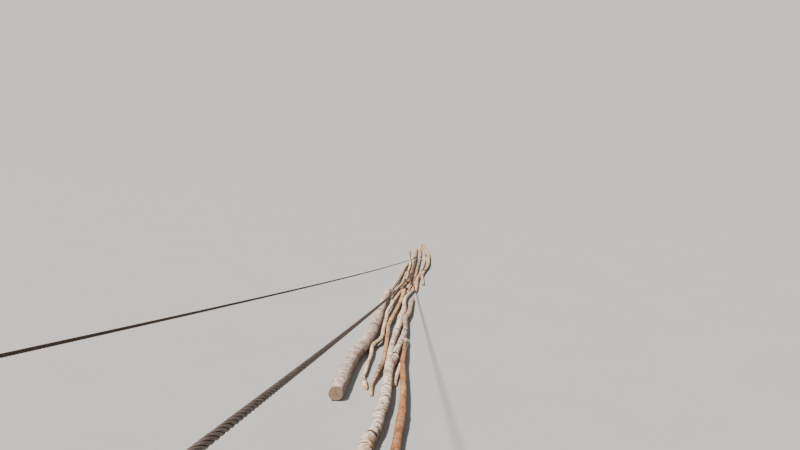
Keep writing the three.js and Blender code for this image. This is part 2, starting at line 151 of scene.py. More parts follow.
# Rings on the skin: stand-out, darkness, closest and widest spacing, breadth
CLOSE_RINGS = (0.8, 0.6, 60, 170, 1.4)
SHORT_RINGS = (0.8, 0.6, 80, 200, 1.6)
CROOKED_RINGS = (1.4, 0.9, 70, 210, 1.8)
FAR_RINGS = (1.6, 1.2, 200, 560, 4.5)
FAINT_FAR_RINGS = (1.2, 1.1, 200, 560, 4.5)

# Each pole: its look, the tones along it, and its knots, creases and cut ends.
# Slopes: how far the near and the far cut lean. A fresh pole has a bright near cut.
# Knots: along, turn from the right side towards the top, stand-out, width.
# Creases: along, turn of the middle, reach to each side, bow, depth, width.
# Worn: along, turn of the middle, reach along, reach to each side, colour of the wood.
# Stubs: along, turn, length, width, spread from the pole.
POLES = {
    "trunk_left": {
        "stations": TRUNK_LEFT, "look": "grey_bark", "sides": 48, "slopes": (0.25, 0.5),
        "rings": (0.9, 0.25, 280, 900, 2.6),
        "tones": [(6750, GREY_LILAC), (8000, GREY_LILAC), (8500, PALE_GREY), (9400, GREY_LILAC),
                  (10400, PALE_GREY), (11600, CREAM), (12430, PALE_GREY)],
        "knots": [(7420, 70, 9, 70), (9640, 70, 5, 60), (9120, 120, 8, 60), (10240, 60, 7, 50),
                  (11300, 100, 7, 44)],
        "creases": [(8370, 115, 75, 10, 5, 18), (9380, 80, 130, -10, 6, 26),
                    (10420, 90, 90, 10, 3, 26)],
    },
    "trunk_forked": {
        "stations": TRUNK_FORKED, "look": "white_bark", "sides": 44, "slopes": (0.2, 0.8),
        "limb": RIGHT_LIMB, "rings": (2.2, 1.0, 50, 180, 1.25), "apart": 8.0,
        "tones": [(4250, PALE_GREY), (5300, WHITE_BARK), (5900, PALE_GREY), (6700, WHITE_BARK),
                  (7500, WHITE_BARK), (8600, PINK_GREY), (9300, WHITE_BARK), (10100, CREAM),
                  (10900, PINK), (11700, CREAM), (12560, PINK_GREY)],
        "limb_tones": [(7900, PINK_GREY), (8080, PINK_GREY), (8180, WHITE_BARK), (9240, WHITE_BARK),
                       (9310, PEACH), (9500, TAN), (10200, TAN), (10700, PEACH), (11660, TAN)],
        "knots": [(7830, 150, 12, 60), (7240, 40, 6, 40), (10120, 70, 6, 40)],
        "limb_knots": [(10180, 20, 8, 46), (9960, 110, 6, 30), (11350, 180, 12, 40)],
        "creases": [(5680, 60, 120, -34, 9, 14), (5420, 150, 80, 20, 3, 10),
                    (8104, 0, 97, -219, 10, 48), (6560, 40, 80, 20, 3, 16), (6905, 100, 70, 14, 3, 16),
                    (7330, 60, 80, -16, 3, 18), (9300, 90, 100, 8, 4, 24)],
        "limb_creases": [(8133, 75, 105, -170, 11, 50), (9270, 90, 150, 8, 6, 26),
                         (9640, 90, 90, -6, 3, 24)],
        "worn": [(5400, 40, 190, 56, WORN_ORANGE), (4700, 60, 260, 60, WORN_ORANGE)],
        "limb_worn": [(10480, 90, 1180, 230, PEELED)],
    },
    "pole_orange": {
        "stations": POLE_ORANGE, "look": "orange_wood", "sides": 40, "slopes": (0.3, 1.0),
        "rings": CLOSE_RINGS, "lumpy": 1.3,
        "tones": [(4330, ORANGE), (6200, ORANGE), (6900, TAN), (7450, ORANGE), (7700, RED_BROWN),
                  (7940, RED_BROWN), (8130, ORANGE), (8480, GREY_TAN), (8800, PINK_GREY),
                  (9130, GREY_TAN)],
        "knots": [(6240, 10, 8, 60), (8330, 60, 6, 30), (8560, 120, 7, 30), (8760, 50, 5, 26)],
        "creases": [(6180, 20, 90, 12, 2, 9), (8250, 90, 80, 10, 4, 20), (8400, 60, 80, -8, 4, 20),
                    (8620, 90, 90, 8, 4, 20)],
    },
    "pole_short": {
        "stations": POLE_SHORT, "look": "cream_wood", "sides": 32, "slopes": (0.7, 0.6), "fresh": True,
        "rings": SHORT_RINGS, "lumpy": 1.6,
        "tones": [(7190, FRESH_CUT), (7310, PINK_GREY), (7900, CREAM), (8400, CREAM), (8990, OLIVE)],
        "knots": [(8640, 70, 9, 44), (8860, 100, 8, 40), (8420, 150, 5, 30)],
    },
    "pole_cream": {
        "stations": POLE_CREAM, "look": "cream_wood", "sides": 32, "slopes": (0.9, 0.6), "fresh": True,
        "rings": CROOKED_RINGS, "lumpy": 2.0,
        "tones": [(7080, FRESH_CUT), (7230, CREAM), (8450, CREAM), (8600, OLIVE), (8900, OLIVE),
                  (9080, CREAM), (9700, CREAM), (9880, YELLOW_WHITE), (9980, YELLOW_WHITE),
                  (10120, PINK_GREY), (10260, WHITE_BARK), (10700, WHITE_BARK), (11300, PINK_GREY),
                  (12460, PINK)],
        "knots": [(8840, 200, 8, 40), (9960, 40, 8, 40), (7360, 170, 9, 40), (7520, 20, 7, 34),
                  (9240, 150, 5, 30), (7300, 70, 7, 34), (7200, 130, 6, 30), (7440, 110, 7, 32)],
        "creases": [(7440, 60, 120, 10, 4, 18), (8620, 200, 90, 8, 4, 22), (8980, 20, 90, 8, 4, 22),
                    (9960, 90, 140, 8, 4, 28), (7345, 50, 110, 10, 4, 14), (7250, 130, 100, -8, 4, 14)],
    },
    "pole_tan": {
        "stations": POLE_TAN, "look": "tan_wood", "sides": 34, "slopes": (0.8, 0.7), "fresh": True,
        "rings": CROOKED_RINGS, "lumpy": 1.7,
        "tones": [(6900, FRESH_CUT), (7060, TAN), (7300, PINK), (7420, GREY_TAN), (7760, GREY_TAN),
                  (7900, TAN), (8400, PEACH), (9600, TAN), (9780, YELLOW), (10300, PEACH), (11000, TAN),
                  (11500, YELLOW), (12500, YELLOW), (12800, TAN)],
        "knots": [(7700, 130, 14, 58), (11700, 60, 9, 50), (9740, 100, 7, 44), (7560, 40, 7, 34),
                  (8900, 60, 5, 30), (7640, 80, 7, 36), (7420, 110, 6, 30)],
        "creases": [(7470, 90, 70, 12, 5, 18), (7600, 60, 100, 10, 5, 18), (7780, 110, 80, -10, 5, 20),
                    (9830, 90, 140, 8, 4, 28), (11620, 90, 150, 6, 5, 34), (7690, 50, 100, 10, 5, 18),
                    (7340, 80, 110, 8, 3, 14)],
    },
    "far_pole_left": {
        "stations": FAR_POLE_LEFT, "look": "cream_wood", "sides": 34, "slopes": (0.5, 0.5),
        "rings": FAR_RINGS, "lumpy": 1.6,
        "tones": [(12010, PINK_GREY), (12900, PALE_GREY), (13600, GREY_TAN), (14600, PINK_GREY),
                  (15490, PALE_GREY)],
        "knots": [(12840, 80, 6, 40), (13560, 120, 6, 36), (14240, 60, 5, 30)],
        "creases": [(13200, 90, 120, 6, 3, 40)],
    },
    "far_pole_pale": {
        "stations": FAR_POLE_PALE, "look": "pink_wood", "sides": 32, "slopes": (0.5, 0.6),
        "rings": FAR_RINGS, "lumpy": 1.8,
        "tones": [(11760, PINK_GREY), (12500, CREAM), (13000, TAN), (13500, CREAM), (14400, PINK)],
        "knots": [(12330, 90, 6, 40), (13300, 60, 5, 32)],
    },
    "far_pole_brown": {
        "stations": FAR_POLE_BROWN, "look": "brown_bark", "sides": 34, "slopes": (0.6, 0.6),
        "rings": FAR_RINGS, "lumpy": 1.6,
        "tones": [(12340, TAN), (12900, TAN), (13400, GREY_TAN), (14400, TAN), (16600, PEACH),
                  (17970, GREY_TAN)],
        "knots": [(12860, 100, 7, 44), (14400, 70, 6, 40), (16200, 80, 6, 36)],
        "creases": [(12640, 90, 100, 8, 3, 36), (15300, 90, 90, 6, 3, 50)],
    },
    "far_pole_tan": {
        "stations": FAR_POLE_TAN, "look": "tan_wood", "sides": 30, "slopes": (0.6, 0.4),
        "rings": FAR_RINGS, "lumpy": 1.8,
        "tones": [(12190, PINK), (13200, TAN), (14100, PINK), (14600, OLIVE_GREY), (16500, OLIVE_GREY),
                  (17000, PEACH), (18200, YELLOW)],
        "knots": [(13100, 70, 5, 34), (14740, 110, 5, 32), (16500, 80, 5, 30)],
    },
    "far_pole_thin": {
        "stations": FAR_POLE_THIN, "look": "pink_wood", "sides": 28, "slopes": (0.6, 0.4),
        "rings": FAINT_FAR_RINGS, "lumpy": 1.8,
        "tones": [(13480, PINK), (14500, PINK_GREY), (14800, YELLOW_WHITE), (15600, YELLOW_WHITE),
                  (16300, YELLOW), (17730, PEACH)],
        "knots": [(15180, 90, 6, 34), (16380, 60, 5, 30)],
    },
    "far_pole_short": {
        "stations": FAR_POLE_SHORT, "look": "pink_wood", "sides": 28, "slopes": (0.6, 0.6),
        "rings": FAINT_FAR_RINGS, "lumpy": 1.8,
        "tones": [(12400, PINK), (13000, PINK_GREY), (13610, PINK)],
        "knots": [(12960, 90, 5, 32)],
    },
    "far_pole_pink": {
        "stations": FAR_POLE_PINK, "look": "pink_wood", "sides": 30, "slopes": (0.5, 0.8),
        "rings": FAR_RINGS, "lumpy": 1.8,
        "tones": [(12270, PINK), (13400, PINK), (14200, PINK_GREY), (15500, PINK_GREY), (16290, CREAM)],
        "knots": [(13060, 80, 6, 40), (13620, 130, 6, 36), (14700, 70, 5, 30)],
        "creases": [(13540, 90, 100, 8, 3, 40)],
        "stubs": [(16170, 178, 100, 44, 80)],
    },
    "far_pole_arched": {
        "stations": FAR_POLE_ARCHED, "look": "yellow_wood", "sides": 32, "slopes": (0.6, 0.05),
        "rings": FAR_RINGS,
        "tones": [(12990, PINK_GREY), (14200, PINK), (14700, GREY_TAN), (15300, OLIVE), (15900, YELLOW),
                  (16500, OLIVE), (17300, OLIVE), (17900, PEACH), (18740, TAN)],
        "knots": [(14560, 90, 7, 42), (15900, 60, 6, 36), (16800, 110, 6, 40), (17700, 80, 7, 44)],
        "creases": [(14460, 90, 120, 8, 4, 44)],
        "stubs": [(17830, 180, 1100, 46, 2.5)],
    },
}


# Numbers

# Large odd numbers that mix the counts of a grid's corner with the seed
MIXERS = (374761393, 668265263, 1440662683, 974634777)
STIRRER = 1274126177
LOW_32_BITS = 0xFFFFFFFF
LOW_24_BITS = 0xFFFFFF
LAYER_SHIFT = 17.3
FULL_TURN = 2 * math.pi


def lattice(corner, seed):
    """A fixed value from 0 to 1 for each corner of a grid."""
    x, y, z = np.moveaxis(corner, -1, 0)
    mixed = (x * MIXERS[0] + y * MIXERS[1] + z * MIXERS[2] + seed * MIXERS[3]) & LOW_32_BITS
    mixed = ((mixed ^ (mixed >> 13)) * STIRRER) & LOW_32_BITS
    return ((mixed ^ (mixed >> 16)) & LOW_24_BITS) / LOW_24_BITS


def eased(part):
    """From 0 to 1 with a level start and end."""
    return part * part * (3 - 2 * part)


def noise(points, seed):
    """Smooth noise from -1 to 1 at each point."""
    cell = np.floor(points).astype(np.int64)
    part = eased(points - cell)
    total = np.zeros(points.shape[:-1])
    for corner in np.ndindex(2, 2, 2):
        weight = np.prod(np.where(corner, part, 1 - part), axis=-1)
        total += weight * lattice(cell + np.array(corner), seed)
    return total * 2 - 1


def rough(points, layers, seed):
    """Several layers of noise, each finer and weaker."""
    total = np.zeros(points.shape[:-1])
    for layer in range(layers):
        total += noise(points * 2.0**layer + LAYER_SHIFT * layer, seed + layer) * 0.5**layer
    return total


def unit(vectors):
    return vectors / np.linalg.norm(vectors, axis=-1, keepdims=True)


def bell(away):
    """1 in the middle, and next to nothing from 2 on."""
    return np.exp(-(away**2))


def smooth_between(values, low, high):
    return eased(np.clip((values - low) / (high - low), 0, 1))


def turned(angle, middle):
    """Signed difference of an angle in radians from a middle in degrees."""
    return (angle - math.radians(middle) + math.pi) % FULL_TURN - math.pi


def round_steps(count):
    """Angles at even steps round a section."""
    return np.arange(count) * 2 * math.pi / count


def round_places(turn, size, along):
    """Places round an axis: right of it, above it and along it."""
    return np.stack(np.broadcast_arrays(size * np.cos(turn), size * np.sin(turn), along), axis=-1)


def tube(centres, right, up, reach, turn):
    """Points in rings round the points of a line, at a distance from it."""
    return (centres[:, None, :]
            + right[:, None, :] * (reach * np.cos(turn))[..., None]
            + up[:, None, :] * (reach * np.sin(turn))[..., None])


def catmull_rom(points, power, steps):
    """Points on the smooth curve through the given ones, with the same count in each span."""
    points = np.asarray(points, float)
    padded = np.vstack([2 * points[0] - points[1], points, 2 * points[-1] - points[-2]])
    part = np.linspace(0, 1, steps, endpoint=False)[:, None]
    found = []
    for before, first, second, after in zip(padded, padded[1:], padded[2:], padded[3:]):
        spans = (first - before, second - first, after - second)
        a, b, c = (max(np.linalg.norm(span), 1e-9) ** power for span in spans)
        leave = b * ((first - before) / a - (second - before) / (a + b) + (second - first) / b)
        arrive = b * ((second - first) / b - (after - first) / (b + c) + (after - second) / c)
        found.append(
            first
            + leave * part
            + (-3 * first + 3 * second - 2 * leave - arrive) * part**2
            + (2 * first - 2 * second + leave + arrive) * part**3
        )
    return np.vstack(found + [points[-1:]])


def middle_line(stations, steps):
    """Points on a pole's middle line: across, along and height."""
    return catmull_rom([(across, along, height) for along, across, height, _ in stations], 0.5, steps)


def evenly(line, apart):
    """Resamples a line at even distances. The first three numbers of each row are its place."""
    steps = np.linalg.norm(np.diff(line[:, :3], axis=0), axis=1)
    at = np.concatenate([[0], np.cumsum(steps)])
    wanted = np.linspace(0, at[-1], max(2, int(round(at[-1] / apart)) + 1))
    return np.stack([np.interp(wanted, at, column) for column in line.T], axis=1), wanted


def directions(centres):
    """Ahead, right and up at each ring, carried along without twist."""
    ahead = unit(np.gradient(centres, axis=0))
    up = np.array([0.0, 0.0, 1.0])
    rights, ups = [], []
    for each in ahead:
        up = up - each * up.dot(each)
        up = up / np.linalg.norm(up)
        rights.append(np.cross(each, up))
        ups.append(up)
    return ahead, np.array(rights), np.array(ups)


# Meshes, in millimetres of the layout until they are finished

CURVE_STEPS = 40
RINGS_APART = 14.0

# Sizes of the skin's lumps and flutes: twice across the pole and once along it
SLOW_LUMPS = np.array([90.0, 90.0, 420.0])
SMALL_LUMPS = np.array([46.0, 46.0, 150.0])
FLUTES = np.array([16.0, 16.0, 260.0])
FLUTE_DEPTH = 0.6
# Shares of the radius that the lumps stand out, and that the skin lies in to leave room for them
SLOW_SHARE = 0.05
SMALL_SHARE = 0.03
SUNK_SHARE = 0.03

FIRST_RING = (20, 80)
LAST_RING = 20
RING_BREADTH = (6, 11)
RING_HEIGHT = (0.35, 1.0)
RING_TILT = 0.16
RING_WAVE = 6

CREASE_WANDER = 5
CREASE_WANDER_SIZE = 30.0
CREASE_FADE = 0.6

END_TAPER_LENGTH = 9.0
END_TAPER_SHARE = 0.05
TONE_WANDER = 90
TONE_WANDER_SIZE = 60.0

# The side away from the sun, and how far the skin faces it where the painted shade on that side starts
# and is full
SUNLESS_SIDE = np.array([0.55, 0.0, -0.83])
SIDE_SHADE_SPAN = (-0.15, 0.7)

FORK_REACH = 46.0
SEAM_REACH = 7.0
LIMB_FEWER_SIDES = 8

# Rings of a cut face, as shares of its radius, and how its rough wood stands out
CUT_RINGS = (0.96, 0.84, 0.66, 0.46, 0.24)
CUT_RELIEF = 2.2
CUT_RELIEF_SIZE = 14.0
CUT_STAND_OUT = 0.8

STUB_SIDES = 16
STUB_FEWEST_RINGS = 14
STUB_SLOPES = (0, 0.4)
STUB_RELIEF = 0.08
STUB_RELIEF_SIZE = 18.0


def placed(name, parts):
    """Links one object made of all the parts' points, in metres, and their faces."""
    points = np.vstack([part["points"] for part in parts])
    faces, start = [], 0
    for part in parts:
        faces += [tuple(index + start for index in face) for face in part["faces"]]
        start += len(part["points"])
    mesh = bpy.data.meshes.new(name)
    mesh.from_pydata(points.tolist(), [], faces)
    found = bpy.data.objects.new(name, mesh)
    bpy.context.scene.collection.objects.link(found)
    return found


def object_from(name, parts):
    """One mesh object from parts, each with its points, faces, point values and corner places."""
    found = placed(name, parts)
    mesh = found.data
    for key in parts[0]["values"]:
        values = np.concatenate([part["values"][key] for part in parts]).astype(np.float32)
        kind, field = ("FLOAT", "value") if values.ndim == 1 else ("FLOAT_VECTOR", "vector")
        mesh.attributes.new(key, kind, "POINT").data.foreach_set(field, values.ravel())
    if "corners" in parts[0]:
        corners = np.concatenate([part["corners"] for part in parts]).astype(np.float32)
        mesh.uv_layers.new(name="UVMap").data.foreach_set("uv", corners.ravel())
    mesh.shade_smooth()
    mesh.update()
    return found


def stand_for(piece, node, material):
    """Puts a piece in the place of a CAD node."""
    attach(piece, "root")
    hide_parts(node)
    piece.data.materials.append(material)


def grid_faces(rows, columns):
    """Quads of a grid whose columns go round."""
    row, column = np.meshgrid(np.arange(rows - 1), np.arange(columns), indexing="ij")
    after = (column + 1) % columns
    quads = np.stack([row * columns + column, row * columns + after,
                      (row + 1) * columns + after, (row + 1) * columns + column], axis=-1)
    return quads.reshape(-1, 4).tolist()


def tone_along(tones, along):
    """Colours between the tones that are given at places along a pole."""
    places = [place for place, _ in tones]
    colours = np.array([colour for _, colour in tones])
    return np.stack([np.interp(along, places, colours[:, k]) for k in range(3)], axis=-1)


class Surface:
    """Skin of a pole, limb or stub, with what its material needs to know."""

    def __init__(self, centres, radius, length, sides):
        self.centres, self.radius, self.length = centres, radius, length
        self.ahead, self.right, self.up = directions(centres)
        self.turn = round_steps(sides)
        self.size = radius[:, None]
        self.along = centres[:, 1][:, None]
        self.place = round_places(self.turn, self.size, length[:, None])
        # Dark: marks of knots and rings, painted shade in creases and the fork's seam, and below 0 a
        # painted highlight
        self.raised, self.dark, self.worn = np.zeros((3, len(centres), sides))
        self.bared = np.zeros_like(self.place)

    def set_reach(self, reach):
        """Sets how far each point is from the middle line."""
        self.reach = reach
        self.points = tube(self.centres, self.right, self.up, reach, self.turn)
        self.out = unit(self.points - self.centres[:, None, :])
        # How far the skin faces away from the sun: painted shade goes there
        self.side_shade = smooth_between(self.out @ SUNLESS_SIDE, *SIDE_SHADE_SPAN)


def add_lumps(surface, lumpy, seed):
    """Puts the skin out of round, in slow lumps and long flutes."""
    slow = noise(surface.place / SLOW_LUMPS, seed)
    small = rough(surface.place / SMALL_LUMPS, 3, seed + 5)
    flutes = noise(surface.place / FLUTES, seed + 9)
    share = lumpy * (SLOW_SHARE * slow + SMALL_SHARE * small) - SUNK_SHARE
    surface.raised += surface.size * share + FLUTE_DEPTH * flutes


def add_leaf_rings(surface, seed, strength, tint, closest, widest, breadth):
    """Rings left by old leaves and buds, each a ridge with a dark groove behind it, and a painted
    highlight on the ridge where the dark value goes below 0.
    """
    random = np.random.default_rng(seed)
    length, turn = surface.length, surface.turn
    place = random.uniform(*FIRST_RING)
    while place < length[-1] - LAST_RING:
        round_here = round_places(turn, 1, place)
        tilt = RING_TILT * surface.radius.mean() * np.cos(turn - random.uniform(0, FULL_TURN))
        wave = tilt + RING_WAVE * noise(round_here * 1.3, seed + 3)
        away = (length[:, None] - place - wave) / (random.uniform(*RING_BREADTH) * breadth)
        part = smooth_between(noise(round_here * 1.1, seed + 4), -0.5, 0.25)
        high = random.uniform(*RING_HEIGHT)
        surface.raised += strength * high * part * (bell(away) - 0.9 * bell(away - 1.7))
        # The part below 0, on the ridge, is a painted highlight
        surface.dark += tint * high * part * (bell(away - 1.6) - 0.5 * bell(away + 0.6))
        place += random.uniform(closest, widest)


def add_creases(surface, creases, seed):
    """Folds across the wood, bowed along it, with a swollen lip on each side, each fold darkened with
    painted shade.
    """
    wander = CREASE_WANDER * noise(surface.place / CREASE_WANDER_SIZE, seed + 21)
    for at, middle, reach, bow, depth, width in creases:
        aside = turned(surface.turn, middle)
        wave = bow * (1 - np.cos(aside)) + wander
        away = (surface.along - at - wave) / width
        shown = smooth_between(math.radians(reach) - np.abs(aside), 0, CREASE_FADE)
        lips = 0.5 * bell(away - 2) + 0.7 * bell(away + 2)
        surface.raised -= depth * shown * (bell(away) - lips)
        # Painted shade in the fold
        surface.dark += min(1.3, 0.25 + 0.13 * depth) * shown * bell(away)


def add_knots(surface, knots):
    """Swellings, each with a dark, sunken eye and a faint dark rim."""
    for at, middle, out, width in knots:
        ahead_of = (surface.along - at) / (width * 0.75)
        beside = turned(surface.turn, middle) * surface.size / (width * 0.5)
        away = np.sqrt(ahead_of**2 + beside**2)
        surface.raised += out * np.exp(-(away**2) * 1.4) - out * 0.75 * bell(away * 3.2)
        surface.dark += 0.9 * bell(away * 2.6) + 0.3 * bell((away - 0.9) * 5)


def add_worn_places(surface, places):
    """Places where the bark is worn off, each with the colour of its bare wood."""
    surface.bared += WORN_ORANGE
    for at, middle, reach_along, reach, colour in places:
        aside = turned(surface.turn, middle) / math.radians(reach)
        share = np.exp(-(((surface.along - at) / reach_along) ** 4) - aside**4)
        surface.bared = np.where((share > surface.worn)[..., None], colour, surface.bared)
        surface.worn = np.maximum(surface.worn, share)


def skin(stations, sides, seed, options, prefix=""):
    """Surface of one pole, or of its limb with the prefix limb_."""
    widths = catmull_rom([(diameter,) for *_, diameter in stations], 0, CURVE_STEPS)
    line = np.hstack([middle_line(stations, CURVE_STEPS), widths])
    line, length = evenly(line, options.get("apart", RINGS_APART))
    surface = Surface(line[:, :3], line[:, 3] / 2, length, sides)
    add_lumps(surface, options.get("lumpy", 1.0), seed)
    add_leaf_rings(surface, seed, *options["rings"])
    add_creases(surface, options.get(prefix + "creases", []), seed)
    add_knots(surface, options[prefix + "knots"])
    add_worn_places(surface, options.get(prefix + "worn", []))
    edge = np.clip(np.minimum(length, length[-1] - length) / END_TAPER_LENGTH, 0, 1)
    surface.raised -= surface.size * END_TAPER_SHARE * ((1 - edge) ** 2)[:, None]
    surface.set_reach(surface.size + surface.raised)
    wander = TONE_WANDER * rough(surface.place / TONE_WANDER_SIZE, 2, seed + 31)
    surface.tone = tone_along(options[prefix + "tones"], surface.along + wander)
    return surface


def slanted(surface, slopes):
    """Shifts the rings near both ends so that the cuts are on a slant, with the top set back."""
    near_slope, far_slope = slopes
    length = surface.length
    rise = surface.reach * np.sin(surface.turn) + surface.size
    for slope, away in ((near_slope, length), (-far_slope, length[-1] - length)):
        share = np.clip(1 - away / (surface.radius * 3), 0, 1)
        surface.points += surface.ahead[:, None, :] * (slope * share[:, None] * rise * 0.5)[..., None]


def cap(surface, far, slope, colour, seed):
    """Points of one cut face, from its edge to its middle, with a rough cut."""
    index = -1 if far else 0
    outward = surface.ahead[index] * (1 if far else -1)
    radius, turn = surface.radius[index], surface.turn
    middle = surface.centres[index] - outward * slope * radius * 0.5
    points, places, cuts = [], [], []
    for share in CUT_RINGS:
        spot = middle + (surface.points[index] - middle) * share
        lift = CUT_RELIEF * rough(spot[:, [0, 2, 1]] / CUT_RELIEF_SIZE, 2, seed)
        lift = lift * min(1, (1 - share) * 8)
        points.append(spot + outward * lift[:, None] + outward * CUT_STAND_OUT)
        places.append(round_places(turn, radius * share, 0))
        cuts.append(np.full(len(turn), 1 - 0.5 * share))
    points = np.vstack(points + [middle + outward])
    return {
        "points": points,
        "place": np.vstack(places + [np.zeros(3)]),
        "tone": np.tile(colour, (len(points), 1)),
        "cut": np.concatenate(cuts + [[1]]),
    }


def cap_faces(edge, start, sides, far):
    """Faces of a cut, whose ring on the skin starts at edge, and whose own points start at start."""
    starts = [edge] + [start + ring * sides for ring in range(len(CUT_RINGS))]
    middle = start + len(CUT_RINGS) * sides
    pairs = [(k, (k + 1) % sides) for k in range(sides)]
    faces = []
    for outer, inner in zip(starts, starts[1:]):
        faces += [[outer + k, inner + k, inner + after, outer + after] for k, after in pairs]
    faces += [[starts[-1] + k, middle, starts[-1] + after] for k, after in pairs]
    return [face[::-1] for face in faces] if far else faces


def closed(surface, slopes, fresh, seed):
    """The finished part of a mesh: a surface and the cut faces at both of its ends."""
    rows, sides = surface.dark.shape
    near = cap(surface, False, slopes[0], FRESH_CUT if fresh else OLD_CUT, seed)
    far = cap(surface, True, slopes[1], OLD_CUT, seed)
    start = rows * sides
    faces = grid_faces(rows, sides)
    faces += cap_faces(0, start, sides, False)
    faces += cap_faces(start - sides, start + len(near["points"]), sides, True)

    def with_cuts(values, key=None):
        """The skin's values, followed by those of the cut faces, or by zeros."""
        flat = values.reshape(start, *values.shape[2:])
        count = len(near["points"]) + len(far["points"])
        ends = [near[key], far[key]] if key else [np.zeros((count, *flat.shape[1:]))]
        return np.concatenate([flat, *ends])

    return {
        "points": with_cuts(surface.points, "points"),
        "faces": faces,
        "values": {
            "place": with_cuts(surface.place, "place") / 1000,
            "tone": with_cuts(surface.tone, "tone"),
            "dark": np.clip(with_cuts(surface.dark), -1, 1),
            "cut": with_cuts(np.zeros((rows, sides)), "cut"),
            "worn": with_cuts(surface.worn),
            "bared": with_cuts(surface.bared),
            # Share of painted shade on the side away from the sun
            "side_shade": with_cuts(surface.side_shade),
        },
    }


def grown_together(first, second):
    """Swells two surfaces where they meet, as wood grows over a fork, and paints shade into the seam on
    its upper side.
    """
    for one, other in ((first, second), (second, first)):
        flat = one.points.reshape(-1, 3)
        gap = np.full(len(flat), np.inf)
        for centre, radius in zip(other.centres[::2], other.radius[::2]):
            gap = np.minimum(gap, np.linalg.norm(flat - centre, axis=1) - radius)
        gap = gap.reshape(one.dark.shape)
        swell = np.clip(1 - np.abs(gap) / FORK_REACH, 0, 1) ** 2 * FORK_REACH / 4
        one.points += one.out * swell[..., None]
        top = smooth_between(one.out[..., 2], 0.1, 0.7)
        # Painted shade along the seam, where the skin faces up
        one.dark += 0.4 * top * bell(gap / SEAM_REACH)


def stub(surface, seed, at, middle, length, width, spread):
    """A broken side branch that points back to the near end, spread away from its pole."""
    index = int(np.argmin(np.abs(surface.centres[:, 1] - at)))
    middle, spread = math.radians(middle), math.radians(spread)
    aside = np.array([math.cos(middle), 0.0, math.sin(middle)])
    heading = aside * math.sin(spread) - np.array([0.0, math.cos(spread), 0.0])
    shares = np.linspace(0, 1, max(STUB_FEWEST_RINGS, int(length / RINGS_APART)))
    flare = 1 + 0.5 * np.exp(-((shares * length / surface.radius[index]) ** 2) * 1.2)
    radius = width / 2 * (1 - 0.25 * shares) * flare
    centres = surface.centres[index] + heading * (length * shares)[:, None]
    piece = Surface(centres, radius, shares * length, STUB_SIDES)
    relief = STUB_RELIEF * rough(piece.place / STUB_RELIEF_SIZE, 2, seed)
    piece.set_reach(piece.size * (1 + relief))
    piece.tone = np.tile(surface.tone[index].mean(axis=0), (*piece.dark.shape, 1))
    return closed(piece, STUB_SLOPES, False, seed)


def in_metres(part):
    """Moves a part from the layout into the bridge's own frame, level where it bears."""
    points = part["points"] + START
    points[:, 2] = np.maximum(points[:, 2], 0)
    part["points"] = points / 1000
    return part


def make_pole(name, options, seed):
    """One pole with its limb and stubs, in the place of its CAD node."""
    surface = skin(options["stations"], options["sides"], seed, options)
    surfaces = [surface]
    if "limb" in options:
        sides = options["sides"] - LIMB_FEWER_SIDES
        surfaces.append(skin(options["limb"], sides, seed + 50, options, "limb_"))
        grown_together(*surfaces)
    for each in surfaces:
        slanted(each, options["slopes"])
    fresh = options.get("fresh", False)
    parts = [closed(each, options["slopes"], fresh, seed + 70) for each in surfaces]
    parts += [stub(surface, seed + 90, *facts) for facts in options.get("stubs", [])]
    pole = object_from(f"{name}_wood", [in_metres(part) for part in parts])
    stand_for(pole, name, LOOKS[options["look"]])


# Materials

class Tint(tuple):
    """A colour that multiplies what is under it. Any other colour covers it."""


HEART_TINT = Tint((0.56, 0.42, 0.33))
BROAD_RING_TINT = Tint((0.58, 0.47, 0.38))
FINE_RING_TINT = Tint((0.5, 0.38, 0.28))
CHECK = (0.045, 0.025, 0.015)
CUT_RIM = (0.09, 0.055, 0.035)
# Dark patches, partly mould and partly painted shade, on the side away from the sun
MOULD_AND_SHADE = (0.05, 0.034, 0.025)

PALE_WOOD_TINT = Tint((1.5, 1.45, 1.35))
DARK_WOOD_TINT = Tint((0.55, 0.45, 0.36))
GRAIN_TINT = Tint((0.5, 0.42, 0.35))
MOTTLE_TINT = Tint((0.46, 0.36, 0.28))
# Ring grooves: partly the ring's dark line, partly painted shade
WOOD_GROOVE_TINT = Tint((0.3, 0.2, 0.14))
# Painted shade on the side of bare wood away from the sun
WOOD_SIDE_SHADE_TINT = Tint((0.17, 0.13, 0.105))
BLEACHED = (0.84, 0.76, 0.66)
PALE_MOTTLE = (0.84, 0.7, 0.56)
# Painted highlight on the rings' lips
WOOD_LIP_HIGHLIGHT = (0.86, 0.74, 0.6)
# Painted highlight on the rings' ridges
WOOD_RIDGE_HIGHLIGHT = (0.84, 0.74, 0.62)
CRACK = (0.07, 0.04, 0.025)
# Dirt in knots and ring grooves, and painted shade in creases and the fork's seam
WOOD_DIRT_AND_SHADE = (0.045, 0.026, 0.016)

DARK_BARK_TINT = Tint((0.66, 0.6, 0.57))
BARK_RING_TINT = Tint((0.42, 0.36, 0.33))
BARK_FINE_TINT = Tint((0.6, 0.56, 0.54))
BARED_TINT = Tint((0.48, 0.38, 0.31))
# Ring grooves: partly the ring's dark line, partly painted shade
BARK_GROOVE_TINT = Tint((0.14, 0.095, 0.07))
# Painted shade on the side of bark away from the sun
BARK_SIDE_SHADE_TINT = Tint((0.31, 0.265, 0.235))
PORE = (0.2, 0.14, 0.1)
DOT = (0.13, 0.085, 0.065)
# Dirt in knots and ring grooves, and painted shade in creases and the fork's seam
BARK_DIRT_AND_SHADE = (0.032, 0.02, 0.015)

WIRE_SPECK_TINT = Tint((0.5, 0.44, 0.4))
# Painted shade between the wires of a strand
WIRE_GROOVE_SHADE = (0.045, 0.028, 0.02)
